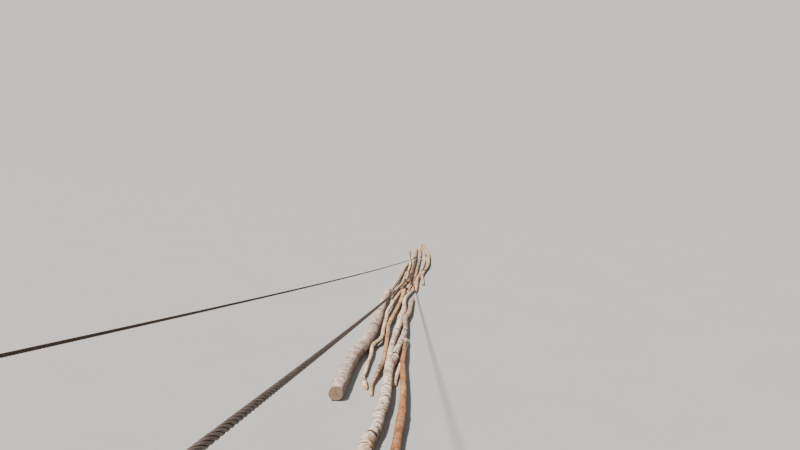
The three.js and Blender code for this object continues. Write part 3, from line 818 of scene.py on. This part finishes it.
# Grime and painted shade deep between the strands
STRAND_GRIME_AND_SHADE = (0.03, 0.019, 0.014)
ZINC = (0.42, 0.41, 0.39)
RUST_BLOOM = (0.2, 0.085, 0.04)
RUST_SPECK = (0.1, 0.06, 0.04)

BUMP_STRENGTH = 0.9
SATURATION = 1.12
WOOD_RINGS_PER_METRE = 6.0
WIRES_IN_STRAND = 11
WIRE_TURNS_PER_METRE = 34.0

# Bark: light and stain are its blotches, whiteness, lines, flake and ringed are strengths
BARKS = {
    "grey_bark": {"light": (0.78, 0.63, 0.53), "stain": (0.23, 0.165, 0.14), "whiteness": 0.8,
                  "lines": 0.15, "flake": 0.9, "ringed": 0.05, "per_metre": 5.0},
    "white_bark": {"light": (1.0, 0.85, 0.73), "stain": (0.27, 0.19, 0.15), "whiteness": 0.95,
                   "lines": 0.6, "flake": 0.9, "ringed": 1.0, "per_metre": 10.5},
    "brown_bark": {"light": (0.66, 0.45, 0.28), "stain": (0.13, 0.08, 0.05), "whiteness": 0.4,
                   "lines": 0.5, "flake": 0.8, "ringed": 0.5, "per_metre": 6.0},
}
# Wood without bark: spots are the remnants' colour, the numbers are strengths
WOODS = {
    "orange_wood": {"grain": 0.7, "remnants": 0.5, "checks": 0.5, "bleach": 0.1, "ringed": 0.2,
                    "spots": (0.24, 0.09, 0.045)},
    "cream_wood": {"grain": 0.7, "remnants": 0.5, "bleach": 0.5, "spots": (0.34, 0.2, 0.11)},
    "tan_wood": {"grain": 1.0, "remnants": 0.6, "bleach": 0.25, "spots": BROWN},
    "pink_wood": {"grain": 0.8, "remnants": 0.5, "bleach": 0.3, "spots": (0.3, 0.13, 0.08)},
    "yellow_wood": {"grain": 0.8, "remnants": 0.4, "bleach": 0.3, "checks": 0.9,
                    "spots": (0.36, 0.22, 0.1)},
}


class Shade:
    """A node material that is wired up step by step."""

    def __init__(self, name):
        self.material = bpy.data.materials.new(name)
        self.material.use_nodes = True
        self.tree = self.material.node_tree
        self.tree.nodes.clear()
        out = self.tree.nodes.new("ShaderNodeOutputMaterial")
        self.surface = self.tree.nodes.new("ShaderNodeBsdfPrincipled")
        self.tree.links.new(self.surface.outputs[0], out.inputs["Surface"])

    def put(self, kind, inputs=None, **settings):
        """Adds a node with its settings and what its inputs are fed with."""
        node = self.tree.nodes.new(kind)
        for key, value in settings.items():
            setattr(node, key, value)
        for key, value in (inputs or {}).items():
            self.feed(node.inputs[key], value)
        return node

    def feed(self, socket, value):
        """Links a socket to another one, or sets its number, vector or colour."""
        if isinstance(value, bpy.types.NodeSocket):
            self.tree.links.new(value, socket)
        elif socket.type == "RGBA":
            socket.default_value = (*value, 1)
        else:
            socket.default_value = value

    def attribute(self, name, output="Fac"):
        return self.put("ShaderNodeAttribute", attribute_name=name).outputs[output]

    def noise(self, vector, by, detail=3, roughness=0.55, distortion=0.0):
        """Noise, by so many waves to a metre, or by a number for each direction."""
        by = by if isinstance(by, tuple) else (by, by, by)
        scaled = self.vector("MULTIPLY", vector, by).outputs[0]
        return self.put("ShaderNodeTexNoise", {
            "Vector": scaled, "Scale": 1.0, "Detail": detail,
            "Roughness": roughness, "Distortion": distortion,
        }).outputs["Fac"]

    def vector(self, operation, first, second=(0, 0, 0)):
        return self.put("ShaderNodeVectorMath", {0: first, 1: second}, operation=operation)

    def maths(self, operation, first, second=0.0):
        return self.put("ShaderNodeMath", {0: first, 1: second}, operation=operation).outputs[0]

    def plus(self, first, second):
        return self.maths("ADD", first, second)

    def minus(self, first, second):
        return self.maths("SUBTRACT", first, second)

    def times(self, first, *others):
        for other in others:
            first = self.maths("MULTIPLY", first, other)
        return first

    def inverted(self, value):
        return self.minus(1.0, value)

    def weighed(self, *terms):
        """The sum of values, each times its weight."""
        total, *others = [self.times(value, weight) for value, weight in terms]
        for other in others:
            total = self.plus(total, other)
        return total

    def step(self, value, low, high):
        """0 at low, 1 at high and smooth between. Low may be the greater one."""
        return self.put("ShaderNodeMapRange", {
            "Value": value, "From Min": low, "From Max": high, "To Min": 0.0, "To Max": 1.0,
        }, interpolation_type="SMOOTHSTEP").outputs[0]

    def mix(self, share, first, second, how="MIX"):
        inputs = {0: share, 6: first, 7: second}
        return self.put("ShaderNodeMix", inputs, data_type="RGBA", blend_type=how).outputs[2]

    def layered(self, colour, *layers):
        """A colour under layers, each with its share, its strength, and its colour or tint."""
        for share, strength, over in layers:
            if isinstance(over, Tint):
                over = self.mix(1.0, colour, over, "MULTIPLY")
            colour = self.mix(self.times(share, strength), colour, over)
        return colour

    def finish(self, colour, roughness, height, distance, metallic=0.0):
        """Wires up the shader. Distance is how far a height of 1 stands out, in metres."""
        relief = {"Strength": BUMP_STRENGTH, "Distance": distance, "Height": height}
        bump = self.put("ShaderNodeBump", relief)
        self.feed(self.surface.inputs["Base Color"], colour)
        self.feed(self.surface.inputs["Roughness"], roughness)
        self.surface.inputs["Metallic"].default_value = metallic
        self.tree.links.new(bump.outputs[0], self.surface.inputs["Normal"])
        return self.material


class WoodShade(Shade):
    """A material that knows what a pole's mesh says of each of its points."""

    def __init__(self, name):
        super().__init__(name)
        self.place = self.attribute("place", "Vector")
        self.tone = self.attribute("tone", "Color")
        # Dark: marks of knots and rings, painted shade in creases and the fork's seam, and below 0 a
        # painted highlight
        self.dark = self.attribute("dark")

    def pattern(self, across, along, *character):
        """Noise in the wood, with so many waves to a metre across and along the pole."""
        return self.noise(self.place, (across, across, along), *character)


def cut_face(shade, colour):
    """Covers the ends: growth rings, heart, drying checks, saw marks and the bark's dark edge."""
    cut = shade.attribute("cut")
    flat = shade.vector("MULTIPLY", shade.place, (1, 1, 0)).outputs[0]
    radius = shade.vector("LENGTH", flat).outputs["Value"]
    bearing = shade.vector("NORMALIZE", flat).outputs[0]
    share = shade.times(shade.inverted(cut), 2.0)
    wander = shade.times(shade.pattern(26, 26, 3), 0.007)
    grown = shade.put("ShaderNodeCombineXYZ", {0: shade.plus(radius, wander)}).outputs[0]
    fine_rings = shade.step(shade.noise(grown, (460, 1, 1), 1), 0.42, 0.62)
    broad_rings = shade.step(shade.noise(grown, (120, 1, 1), 2), 0.4, 0.62)
    saw = shade.noise(shade.place, (30, 600, 30), 2)
    heart = shade.inverted(shade.step(shade.plus(share, shade.times(wander, 20.0)), 0.3, 0.62))
    ray = shade.maths("ABSOLUTE", shade.minus(shade.noise(bearing, 2.6, 3, 0.7), 0.5))
    check = shade.times(shade.inverted(shade.step(ray, 0.004, 0.022)), shade.step(share, 0.06, 0.2),
                        shade.step(shade.noise(bearing, 1.9, 1), 0.5, 0.54))
    face = shade.layered(
        shade.tone,
        (heart, 0.4, HEART_TINT),
        (broad_rings, 0.35, BROAD_RING_TINT),
        (fine_rings, 0.35, FINE_RING_TINT),
        (check, 0.85, CHECK),
        (shade.step(share, 0.86, 0.97), 0.6, CUT_RIM),
    )
    height = shade.weighed((fine_rings, 0.4), (saw, 0.9), (check, -1.5))
    on_cut = shade.step(cut, 0.3, 0.4)
    return shade.mix(on_cut, colour, face), shade.times(height, on_cut)


def worn_share(shade):
    """Where the bark is worn off, with streaks across the trunk at its edge."""
    streaks = shade.minus(shade.pattern(12, 40, 5, 0.68, 0.3), 0.5)
    return shade.step(shade.plus(shade.attribute("worn"), shade.times(streaks, 3.0)), 0.4, 0.7)


def ring_marks(shade, per_metre):
    """Rings round the wood: a groove and a pale lip for each, broken up along the girth. The lip is a
    painted highlight, and the dark groove is partly the ring's own dark line and partly painted shade.
    """
    along = shade.put("ShaderNodeSeparateXYZ", {0: shade.place}).outputs[2]
    wander = shade.times(shade.pattern(9, 10, 4, 0.64), 0.17 * per_metre)
    saw = shade.maths("FRACT", shade.plus(shade.times(along, per_metre), wander))
    shown = shade.step(shade.pattern(17, 13, 4, 0.62), 0.43, 0.58)
    groove = shade.times(shade.inverted(shade.step(saw, 0.12, 0.36)), shown)
    lip = shade.times(shade.step(saw, 0.5, 0.85), shown)
    return groove, lip


def with_side_shade(shade, colour, strength, side_shade_tint):
    """Painted shade: the side turned away from the sun is darkened brown in ragged patches, with darker
    patches of mould and painted shade in them.
    """
    ragged = shade.step(shade.pattern(22, 12, 4, 0.6), 0.22, 0.5)
    side_shade = shade.times(shade.attribute("side_shade"), ragged)
    # Dark patches, partly mould and partly painted shade, only where the painted side shade is
    mould_and_shade = shade.step(shade.pattern(24, 14, 3, 0.6), 0.5, 0.58)
    mould_and_shade = shade.times(mould_and_shade, shade.step(side_shade, 0.15, 0.6))
    colour = shade.layered(colour, (side_shade, strength, side_shade_tint), (mould_and_shade, 0.6, MOULD_AND_SHADE))
    return shade.put("ShaderNodeHueSaturation", {"Saturation": SATURATION, "Color": colour}).outputs[0]


def drying_cracks(shade, checks):
    """Thin cracks along the grain, in some places only."""
    line = shade.maths("ABSOLUTE", shade.minus(shade.pattern(60, 2.6, 2), 0.5))
    crack = shade.inverted(shade.step(line, 0.0, 0.012))
    where = shade.step(shade.pattern(12, 4, 1), 0.5, 0.6)
    return shade.times(crack, where, checks)


def wood_ground(shade, broad, long_grain, grain, remnants, bleach, spots):
    """Colour of bare wood: broad tones, grain, bleached places, remnants of bark and mottle."""
    pale = shade.mix(0.5, shade.tone, PALE_WOOD_TINT, "MULTIPLY")
    deep = shade.mix(0.6, shade.tone, DARK_WOOD_TINT, "MULTIPLY")
    bleached = shade.step(shade.pattern(30, 8, 4, 0.6), 0.52, 0.64)
    left_over = shade.step(shade.pattern(28, 9, 5, 0.65), 0.56, 0.64)
    mottle = shade.pattern(44, 26, 4, 0.68, 0.4)
    return shade.layered(
        shade.mix(shade.step(broad, 0.38, 0.64), pale, deep),
        (shade.step(long_grain, 0.45, 0.7), 0.5 * grain, GRAIN_TINT),
        (bleached, bleach, BLEACHED),
        (left_over, min(1.0, 1.35 * remnants), spots),
        (shade.step(mottle, 0.46, 0.38), 0.75, MOTTLE_TINT),
        (shade.step(mottle, 0.55, 0.63), 0.8 * bleach, PALE_MOTTLE),
    )


def peeled_wood(name, grain, remnants, bleach, spots, checks=1.0, ringed=0.4):
    """Wood without its bark: long grain, drying checks, worn places, painted shade and painted
    highlights.
    """
    shade = WoodShade(name)
    broad = shade.pattern(14, 4, 3)
    long_grain = shade.pattern(170, 6, 4, 0.6, 0.3)
    fine = shade.pattern(520, 60, 3)
    groove, lip = ring_marks(shade, WOOD_RINGS_PER_METRE)
    crack = drying_cracks(shade, checks)
    # Dirt in knots and ring grooves, and painted shade in creases and the fork's seam
    dirt_and_shade = shade.times(shade.step(shade.dark, 0.05, 0.8), shade.step(fine, 0.2, 0.5))
    colour = shade.layered(
        wood_ground(shade, broad, long_grain, grain, remnants, bleach, spots),
        # Rings: a painted highlight on each lip, and a dark groove that is partly painted shade
        (lip, 0.5 * ringed, WOOD_LIP_HIGHLIGHT),
        (groove, 0.9 * ringed, WOOD_GROOVE_TINT),
        (crack, 0.8, CRACK),
        # Painted highlight where the dark value is below 0, on the rings' ridges
        (shade.step(shade.dark, -0.05, -0.5), 0.5, WOOD_RIDGE_HIGHLIGHT),
        (dirt_and_shade, 0.93, WOOD_DIRT_AND_SHADE),
    )
    # Painted shade on the side away from the sun
    colour = with_side_shade(shade, colour, 0.92, WOOD_SIDE_SHADE_TINT)
    colour, cut_height = cut_face(shade, colour)
    height = shade.weighed((long_grain, 0.7), (fine, 0.25), (shade.minus(lip, groove), ringed),
                           (crack, -1.2), (cut_height, 0.5))
    return shade.finish(colour, shade.plus(0.62, shade.times(broad, 0.3)), height, 0.0016)


def bark_ground(shade, blotch, light, stain, whiteness):
    """Colour of bark: broad tones, and olive, lilac, light and stained blotches."""
    broad = shade.pattern(9, 5, 4)
    girdle = shade.pattern(13, 19, 5, 0.66, 0.6)
    cast = shade.pattern(15, 13, 4, 0.62)
    deep = shade.mix(1.0, shade.tone, DARK_BARK_TINT, "MULTIPLY")
    return shade.layered(
        shade.mix(shade.step(broad, 0.38, 0.62), deep, shade.tone),
        (shade.step(cast, 0.54, 0.62), 0.55, OLIVE),
        (shade.step(girdle, 0.5, 0.57), whiteness, light),
        (shade.step(cast, 0.46, 0.38), 0.45, GREY_LILAC),
        (shade.step(girdle, 0.44, 0.34), 0.65, stain),
        (shade.step(blotch, 0.43, 0.36), 0.7, stain),
        (shade.step(blotch, 0.57, 0.63), 0.7 * whiteness, light),
    )


def bared_wood(shade, blotch, light):
    """Colour of the wood where the bark is worn off."""
    return shade.layered(
        shade.attribute("bared", "Color"),
        (shade.step(blotch, 0.46, 0.6), 0.25, light),
        (shade.step(blotch, 0.47, 0.39), 0.65, BARED_TINT),
    )


def barked(name, light, stain, whiteness, lines, flake, ringed, per_metre):
    """Bark with blotches drawn out round the trunk, short pores, rings and worn places."""
    shade = WoodShade(name)
    blotch = shade.pattern(34, 17, 6, 0.68, 0.5)
    fine = shade.pattern(300, 260, 4, 0.6)
    rings = shade.pattern(9, 150, 3, 0.6, 0.2)
    pores = shade.step(shade.pattern(55, 430, 2, 0.5), 0.6, 0.68)
    dots = shade.step(shade.pattern(70, 34, 2, 0.5), 0.64, 0.7)
    worn = worn_share(shade)
    groove, lip = ring_marks(shade, per_metre)
    # Dirt in knots and ring grooves, and painted shade in creases and the fork's seam
    dirt_and_shade = shade.times(shade.step(shade.dark, 0.04, 0.7), shade.step(fine, 0.1, 0.45))
    colour = shade.layered(
        bark_ground(shade, blotch, light, stain, whiteness),
        (shade.step(rings, 0.54, 0.66), 0.45 * lines, BARK_RING_TINT),
        (pores, 0.5 * lines, PORE),
        (shade.step(fine, 0.35, 0.75), 0.3, BARK_FINE_TINT),
        (worn, 0.92, bared_wood(shade, blotch, light)),
        (dots, 0.75, DOT),
        # Rings: a painted highlight on each lip, and a dark groove that is partly painted shade
        (lip, 0.7 * ringed, light),
        (groove, 0.9 * ringed, BARK_GROOVE_TINT),
        # Painted highlight where the dark value is below 0, on the rings' ridges
        (shade.step(shade.dark, -0.05, -0.5), 0.6, light),
        (dirt_and_shade, 0.97, BARK_DIRT_AND_SHADE),
    )
    # Painted shade on the side away from the sun
    colour = with_side_shade(shade, colour, 0.76, BARK_SIDE_SHADE_TINT)
    colour, cut_height = cut_face(shade, colour)
    height = shade.weighed((blotch, 0.9 * flake), (fine, 0.35),
                           (shade.step(rings, 0.52, 0.66), -0.5 * lines), (pores, -0.3 * lines),
                           (worn, -0.7), (shade.minus(lip, groove), 0.8 * ringed), (cut_height, 0.4))
    return shade.finish(colour, shade.plus(0.75, shade.times(fine, 0.2)), height, 0.0022)


def wire(name, steel, rust, rusty):
    """Strands of fine wires, dull and rusty, with painted shade between the wires, and grime and
    painted shade deep between the strands.
    """
    shade = Shade(name)
    where = shade.put("ShaderNodeTexCoord")
    corner = shade.put("ShaderNodeSeparateXYZ", {0: where.outputs["UV"]})
    round_strand = shade.times(corner.outputs[0], FULL_TURN * WIRES_IN_STRAND)
    along_strand = shade.times(corner.outputs[1], FULL_TURN * WIRE_TURNS_PER_METRE)
    crown = shade.maths("SINE", shade.plus(round_strand, along_strand))
    patches = shade.noise(where.outputs["Object"], 46, 5, 0.65)
    specks = shade.noise(where.outputs["Object"], 900, 3, 0.6)
    colour = shade.layered(
        shade.mix(shade.step(patches, rusty - 0.12, rusty + 0.12), rust, steel),
        (shade.step(specks, 0.4, 0.7), 0.45, WIRE_SPECK_TINT),
        # Painted shade between the wires
        (shade.step(crown, 0.0, -1.0), 0.55, WIRE_GROOVE_SHADE),
        # Grime and painted shade on the strands' inner sides
        (shade.step(shade.attribute("deep"), 0.07, 0.32), 1.0, STRAND_GRIME_AND_SHADE),
    )
    roughness = shade.plus(0.55, shade.times(patches, 0.3))
    height = shade.weighed((crown, 0.5), (specks, 0.3))
    return shade.finish(colour, roughness, height, 0.0006, metallic=0.35)


def fitting_steel(name, rusty):
    """Dull galvanised steel with rust blooms and specks."""
    shade = Shade(name)
    place = shade.put("ShaderNodeTexCoord").outputs["Object"]
    cloud = shade.noise(place, 90, 5, 0.65)
    speck = shade.noise(place, 700, 3, 0.6)
    spangle = shade.put("ShaderNodeTexVoronoi", {"Vector": place, "Scale": 260.0}).outputs["Color"]
    zinc = shade.mix(0.12, ZINC, spangle)
    colour = shade.layered(
        shade.mix(shade.step(cloud, rusty - 0.08, rusty + 0.08), RUST_BLOOM, zinc),
        (shade.step(speck, 0.45, 0.7), 0.4, RUST_SPECK),
    )
    roughness = shade.plus(0.45, shade.times(cloud, 0.35))
    height = shade.weighed((cloud, 0.5), (speck, 0.4))
    return shade.finish(colour, roughness, height, 0.0004, metallic=0.6)


LOOKS = {name: barked(name, **facts) for name, facts in BARKS.items()}
LOOKS.update({name: peeled_wood(name, **facts) for name, facts in WOODS.items()})

FIRST_SEED = 100
SEED_STEP = 131
for number, (name, options) in enumerate(POLES.items()):
    make_pole(name, options, FIRST_SEED + SEED_STEP * number)


# Hand lines

STRANDS = 6
STRAND_SIDES = 7
# A strand's radius is a sixth of the rope, and a little more so that the strands press together
STRAND_SWELL = 1.12
STRAND_INSET = 0.05
EYE_RADIUS_FACTOR = 1.9
EYE_REACH_FACTOR = 2.6
EYE_STEPS = 29
TAIL_FACTOR = 17
LINE_SAG = 45
LINE_STEPS = 120
WOUND_POLE = FAR_POLE_BROWN
WOUND_POLE_OVAL = 0.045
WOUND_POLE_STEPS = 60
TURNS = 3
TURN_STEPS = 40
TURN_CROWDING = 1.7
BITE = 1.5
GAP = 0.3
HAND_LINES = {
    "right": {"diameter": 26, "eye": (-438, 650, 2477), "wind_from": 13180, "wind_length": 420,
              "lay": 196, "spacing": 9, "slot": "grey_wire", "steel": (0.225, 0.17, 0.15),
              "rust": (0.13, 0.083, 0.065), "rusty": 0.46, "rusty_fittings": 0.46},
    "left": {"diameter": 16, "eye": (-1385, 1450, 2390), "wind_from": 15950, "wind_length": 300,
             "lay": 104, "spacing": 6, "slot": "rusty_wire", "steel": (0.13, 0.085, 0.06),
             "rust": (0.085, 0.04, 0.022), "rusty": 0.55, "rusty_fittings": 0.54},
}


def wound_pole_at(along):
    """Middles and radii of the pole that the hand lines end on, at distances along the bridge."""
    centres = middle_line(WOUND_POLE, WOUND_POLE_STEPS)
    middles = np.stack([np.interp(along, centres[:, 1], column) for column in centres.T], axis=-1)
    spans = np.interp(along, centres[:, 1], np.arange(len(centres)) / WOUND_POLE_STEPS)
    widths = [diameter for *_, diameter in WOUND_POLE]
    return middles, np.interp(spans, range(len(widths)), widths) / 2


def eye_outline(diameter):
    """The rope's middle line round its eye, in the eye's plane: out from the throat, then aside."""
    half_gap = (diameter + 2 * GAP) / 2
    bend = diameter * EYE_RADIUS_FACTOR
    reach = bend * EYE_REACH_FACTOR
    start = -math.pi + math.atan(half_gap / reach) + math.acos(bend / math.hypot(reach, half_gap))
    tail = [(-TAIL_FACTOR * diameter, -half_gap), (0, -half_gap)]
    bow = [(reach + bend * math.cos(turn), bend * math.sin(turn))
           for turn in np.linspace(start, -start, EYE_STEPS)]
    live = [(0, half_gap), (-(TAIL_FACTOR + 2) * diameter, half_gap)]
    return tail + bow + live


def wound_turns(line):
    """The rope's middle line round its pole, in turns that crowd together towards the last one."""
    shares = np.linspace(0, 1, TURNS * TURN_STEPS + 1)
    centres, radius = wound_pole_at(line["wind_from"] + line["wind_length"] * shares)
    angle = math.pi / 2 + FULL_TURN * TURNS * shares**TURN_CROWDING
    away = radius * (1 + WOUND_POLE_OVAL) + line["diameter"] / 2 - BITE
    return centres + np.stack([away * np.cos(angle), 0 * angle, away * np.sin(angle)], axis=-1)


def hand_line_middle(line):
    """Middle line of a hand line from its tail, round the eye, to its last turn on the pole."""
    throat = np.array(line["eye"], float)
    landing, _ = wound_pole_at(line["wind_from"])
    out = unit(throat - landing)
    live = unit(np.array([0.0, 0.0, 1.0]) - out * out[2])
    points = [throat + out * a + live * b for a, b in eye_outline(line["diameter"])]
    wound = wound_turns(line)
    shares = np.linspace(0, 1, LINE_STEPS + 1)[1:-1, None]
    straight = points[-1] + (wound[0] - points[-1]) * shares
    straight[:, 2] -= (LINE_SAG * 4 * shares * (1 - shares))[:, 0]
    return np.vstack([points, straight, wound])


def strand_part(centres, length, phase, line):
    """One strand laid round the rope's middle line."""
    diameter = line["diameter"]
    strand = diameter / 6 * STRAND_SWELL
    orbit = diameter / 2 - strand - STRAND_INSET
    _, right, up = directions(centres)
    angle = phase - FULL_TURN * length / line["lay"]
    outward = right * np.cos(angle)[:, None] + up * np.sin(angle)[:, None]
    middles = centres + outward * orbit
    beside = unit(np.cross(unit(np.gradient(middles, axis=0)), outward))
    turn = round_steps(STRAND_SIDES)
    points = tube(middles, outward, beside, strand, turn)
    rows = len(centres)
    last = (rows - 1) * STRAND_SIDES
    # A strand's sections run the other way round than a pole's
    faces = [face[::-1] for face in grid_faces(rows, STRAND_SIDES)]
    faces += [list(range(STRAND_SIDES)), list(range(last, last + STRAND_SIDES))[::-1]]
    # How far each point faces the rope's middle, where grime and painted shade go
    deep = np.tile(0.5 - 0.5 * np.cos(turn), (rows, 1)) ** 1.3
    return {"points": (points.reshape(-1, 3) + START) / 1000, "faces": faces,
            "values": {"deep": deep.ravel()}, "corners": strand_corners(length / 1000)}


def strand_corners(along):
    """Places of the faces' corners: the share of the way round a strand, and metres along it."""
    row, column = np.meshgrid(np.arange(len(along) - 1), np.arange(STRAND_SIDES), indexing="ij")
    round_it = np.stack([column, column + 1, column + 1, column], axis=-1) / STRAND_SIDES
    along_it = along[np.stack([row + 1, row + 1, row, row], axis=-1)]
    corners = np.stack([round_it, along_it], axis=-1).reshape(-1, 2)
    return np.concatenate([corners, np.zeros((2 * STRAND_SIDES, 2))])


def make_hand_line(side, line):
    """One twisted rope in the place of its CAD node."""
    centres, length = evenly(hand_line_middle(line), line["spacing"])
    phases = [FULL_TURN * number / STRANDS for number in range(STRANDS)]
    parts = [strand_part(centres, length, phase, line) for phase in phases]
    rope = object_from(f"hand_line_{side}_strands", parts)
    look = wire(line["slot"], line["steel"], line["rust"], line["rusty"])
    stand_for(rope, f"hand_line_{side}", look)


for side, line in HAND_LINES.items():
    make_hand_line(side, line)
    steel = fitting_steel(f"fitting_{side}", line["rusty_fittings"])
    for name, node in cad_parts.items():
        if name.startswith((f"clip_{side}", f"thimble_{side}")):
            node.data.materials.clear()
            node.data.materials.append(steel)


# Floor, light and camera

FLOOR_HALF_SIZE = 140.0
FLOOR_DROP = 0.002
FLOOR_PAINT = 0.38
FLOOR_CLOUD = 0.012
KEY_STRENGTH = 7.2
KEY_COLOUR = (1.0, 0.95, 0.88)
KEY_FROM = (-0.5, -0.24, 1.0)
KEY_ANGLE = 4
SKY_STRENGTH = 0.42
SKY_COLOUR = (0.9, 0.9, 0.9)
PHOTO_WIDTH = 800
PHOTO_FOCAL_LENGTH = 578
SENSOR_WIDTH = 36.0
CAMERA_HEIGHT = 3.0
CAMERA_DIP = 7
FARTHEST_SEEN = 300


def floor_glow():
    """Colour of the lit floor, so that the far distance can blend into it."""
    slope = KEY_FROM[2] / math.sqrt(sum(part * part for part in KEY_FROM))
    return [
        FLOOR_PAINT * (KEY_STRENGTH * slope / math.pi * key + SKY_STRENGTH * sky)
        for key, sky in zip(KEY_COLOUR, SKY_COLOUR)
    ]


def make_floor():
    """A plain, faintly clouded floor just under the bridge."""
    size = FLOOR_HALF_SIZE
    corners = np.array([(-size, -size, 0), (size, -size, 0), (size, size, 0), (-size, size, 0)])
    floor = placed("floor", [{"points": corners, "faces": [(0, 1, 2, 3)]}])
    floor.location.z = -FLOOR_DROP
    shade = Shade("floor")
    place = shade.put("ShaderNodeTexCoord").outputs["Object"]
    darker = (FLOOR_PAINT - FLOOR_CLOUD,) * 3
    lighter = (FLOOR_PAINT + FLOOR_CLOUD,) * 3
    colour = shade.mix(shade.noise(place, 0.6, 3), darker, lighter)
    floor.data.materials.append(shade.finish(colour, 0.95, shade.noise(place, 300, 2), 0.0003))


def make_sky():
    """Soft light from all round, and a backdrop for the camera in the floor's own colour."""
    world = bpy.data.worlds.new("studio")
    bpy.context.scene.world = world
    world.use_nodes = True
    tree = world.node_tree
    sky = tree.nodes["Background"]
    sky.inputs[0].default_value = (*SKY_COLOUR, 1)
    sky.inputs[1].default_value = SKY_STRENGTH
    backdrop = tree.nodes.new("ShaderNodeBackground")
    backdrop.inputs[0].default_value = (*floor_glow(), 1)
    seen = tree.nodes.new("ShaderNodeLightPath")
    choice = tree.nodes.new("ShaderNodeMixShader")
    tree.links.new(seen.outputs["Is Camera Ray"], choice.inputs[0])
    tree.links.new(sky.outputs[0], choice.inputs[1])
    tree.links.new(backdrop.outputs[0], choice.inputs[2])
    tree.links.new(choice.outputs[0], tree.nodes["World Output"].inputs[0])


def make_key_light():
    """Warm light from the upper left, a little from behind the camera."""
    sun = bpy.data.lights.new("key", "SUN")
    sun.energy = KEY_STRENGTH
    sun.angle = math.radians(KEY_ANGLE)
    sun.color = KEY_COLOUR
    key = bpy.data.objects.new("key", sun)
    key.rotation_euler = Vector(KEY_FROM).to_track_quat("Z", "Y").to_euler()
    bpy.context.scene.collection.objects.link(key)


def make_camera():
    """A camera where the photo was taken, over the start of the layout."""
    lens = bpy.data.cameras.new("camera")
    lens.sensor_width = SENSOR_WIDTH
    lens.lens = SENSOR_WIDTH * PHOTO_FOCAL_LENGTH / PHOTO_WIDTH
    lens.clip_end = FARTHEST_SEEN
    camera = bpy.data.objects.new("camera", lens)
    camera.location = (START[0] / 1000, START[1] / 1000, CAMERA_HEIGHT)
    camera.rotation_euler = (math.radians(90 - CAMERA_DIP), 0, 0)
    bpy.context.scene.collection.objects.link(camera)
    bpy.context.scene.camera = camera


make_floor()
make_sky()
make_key_light()
make_camera()
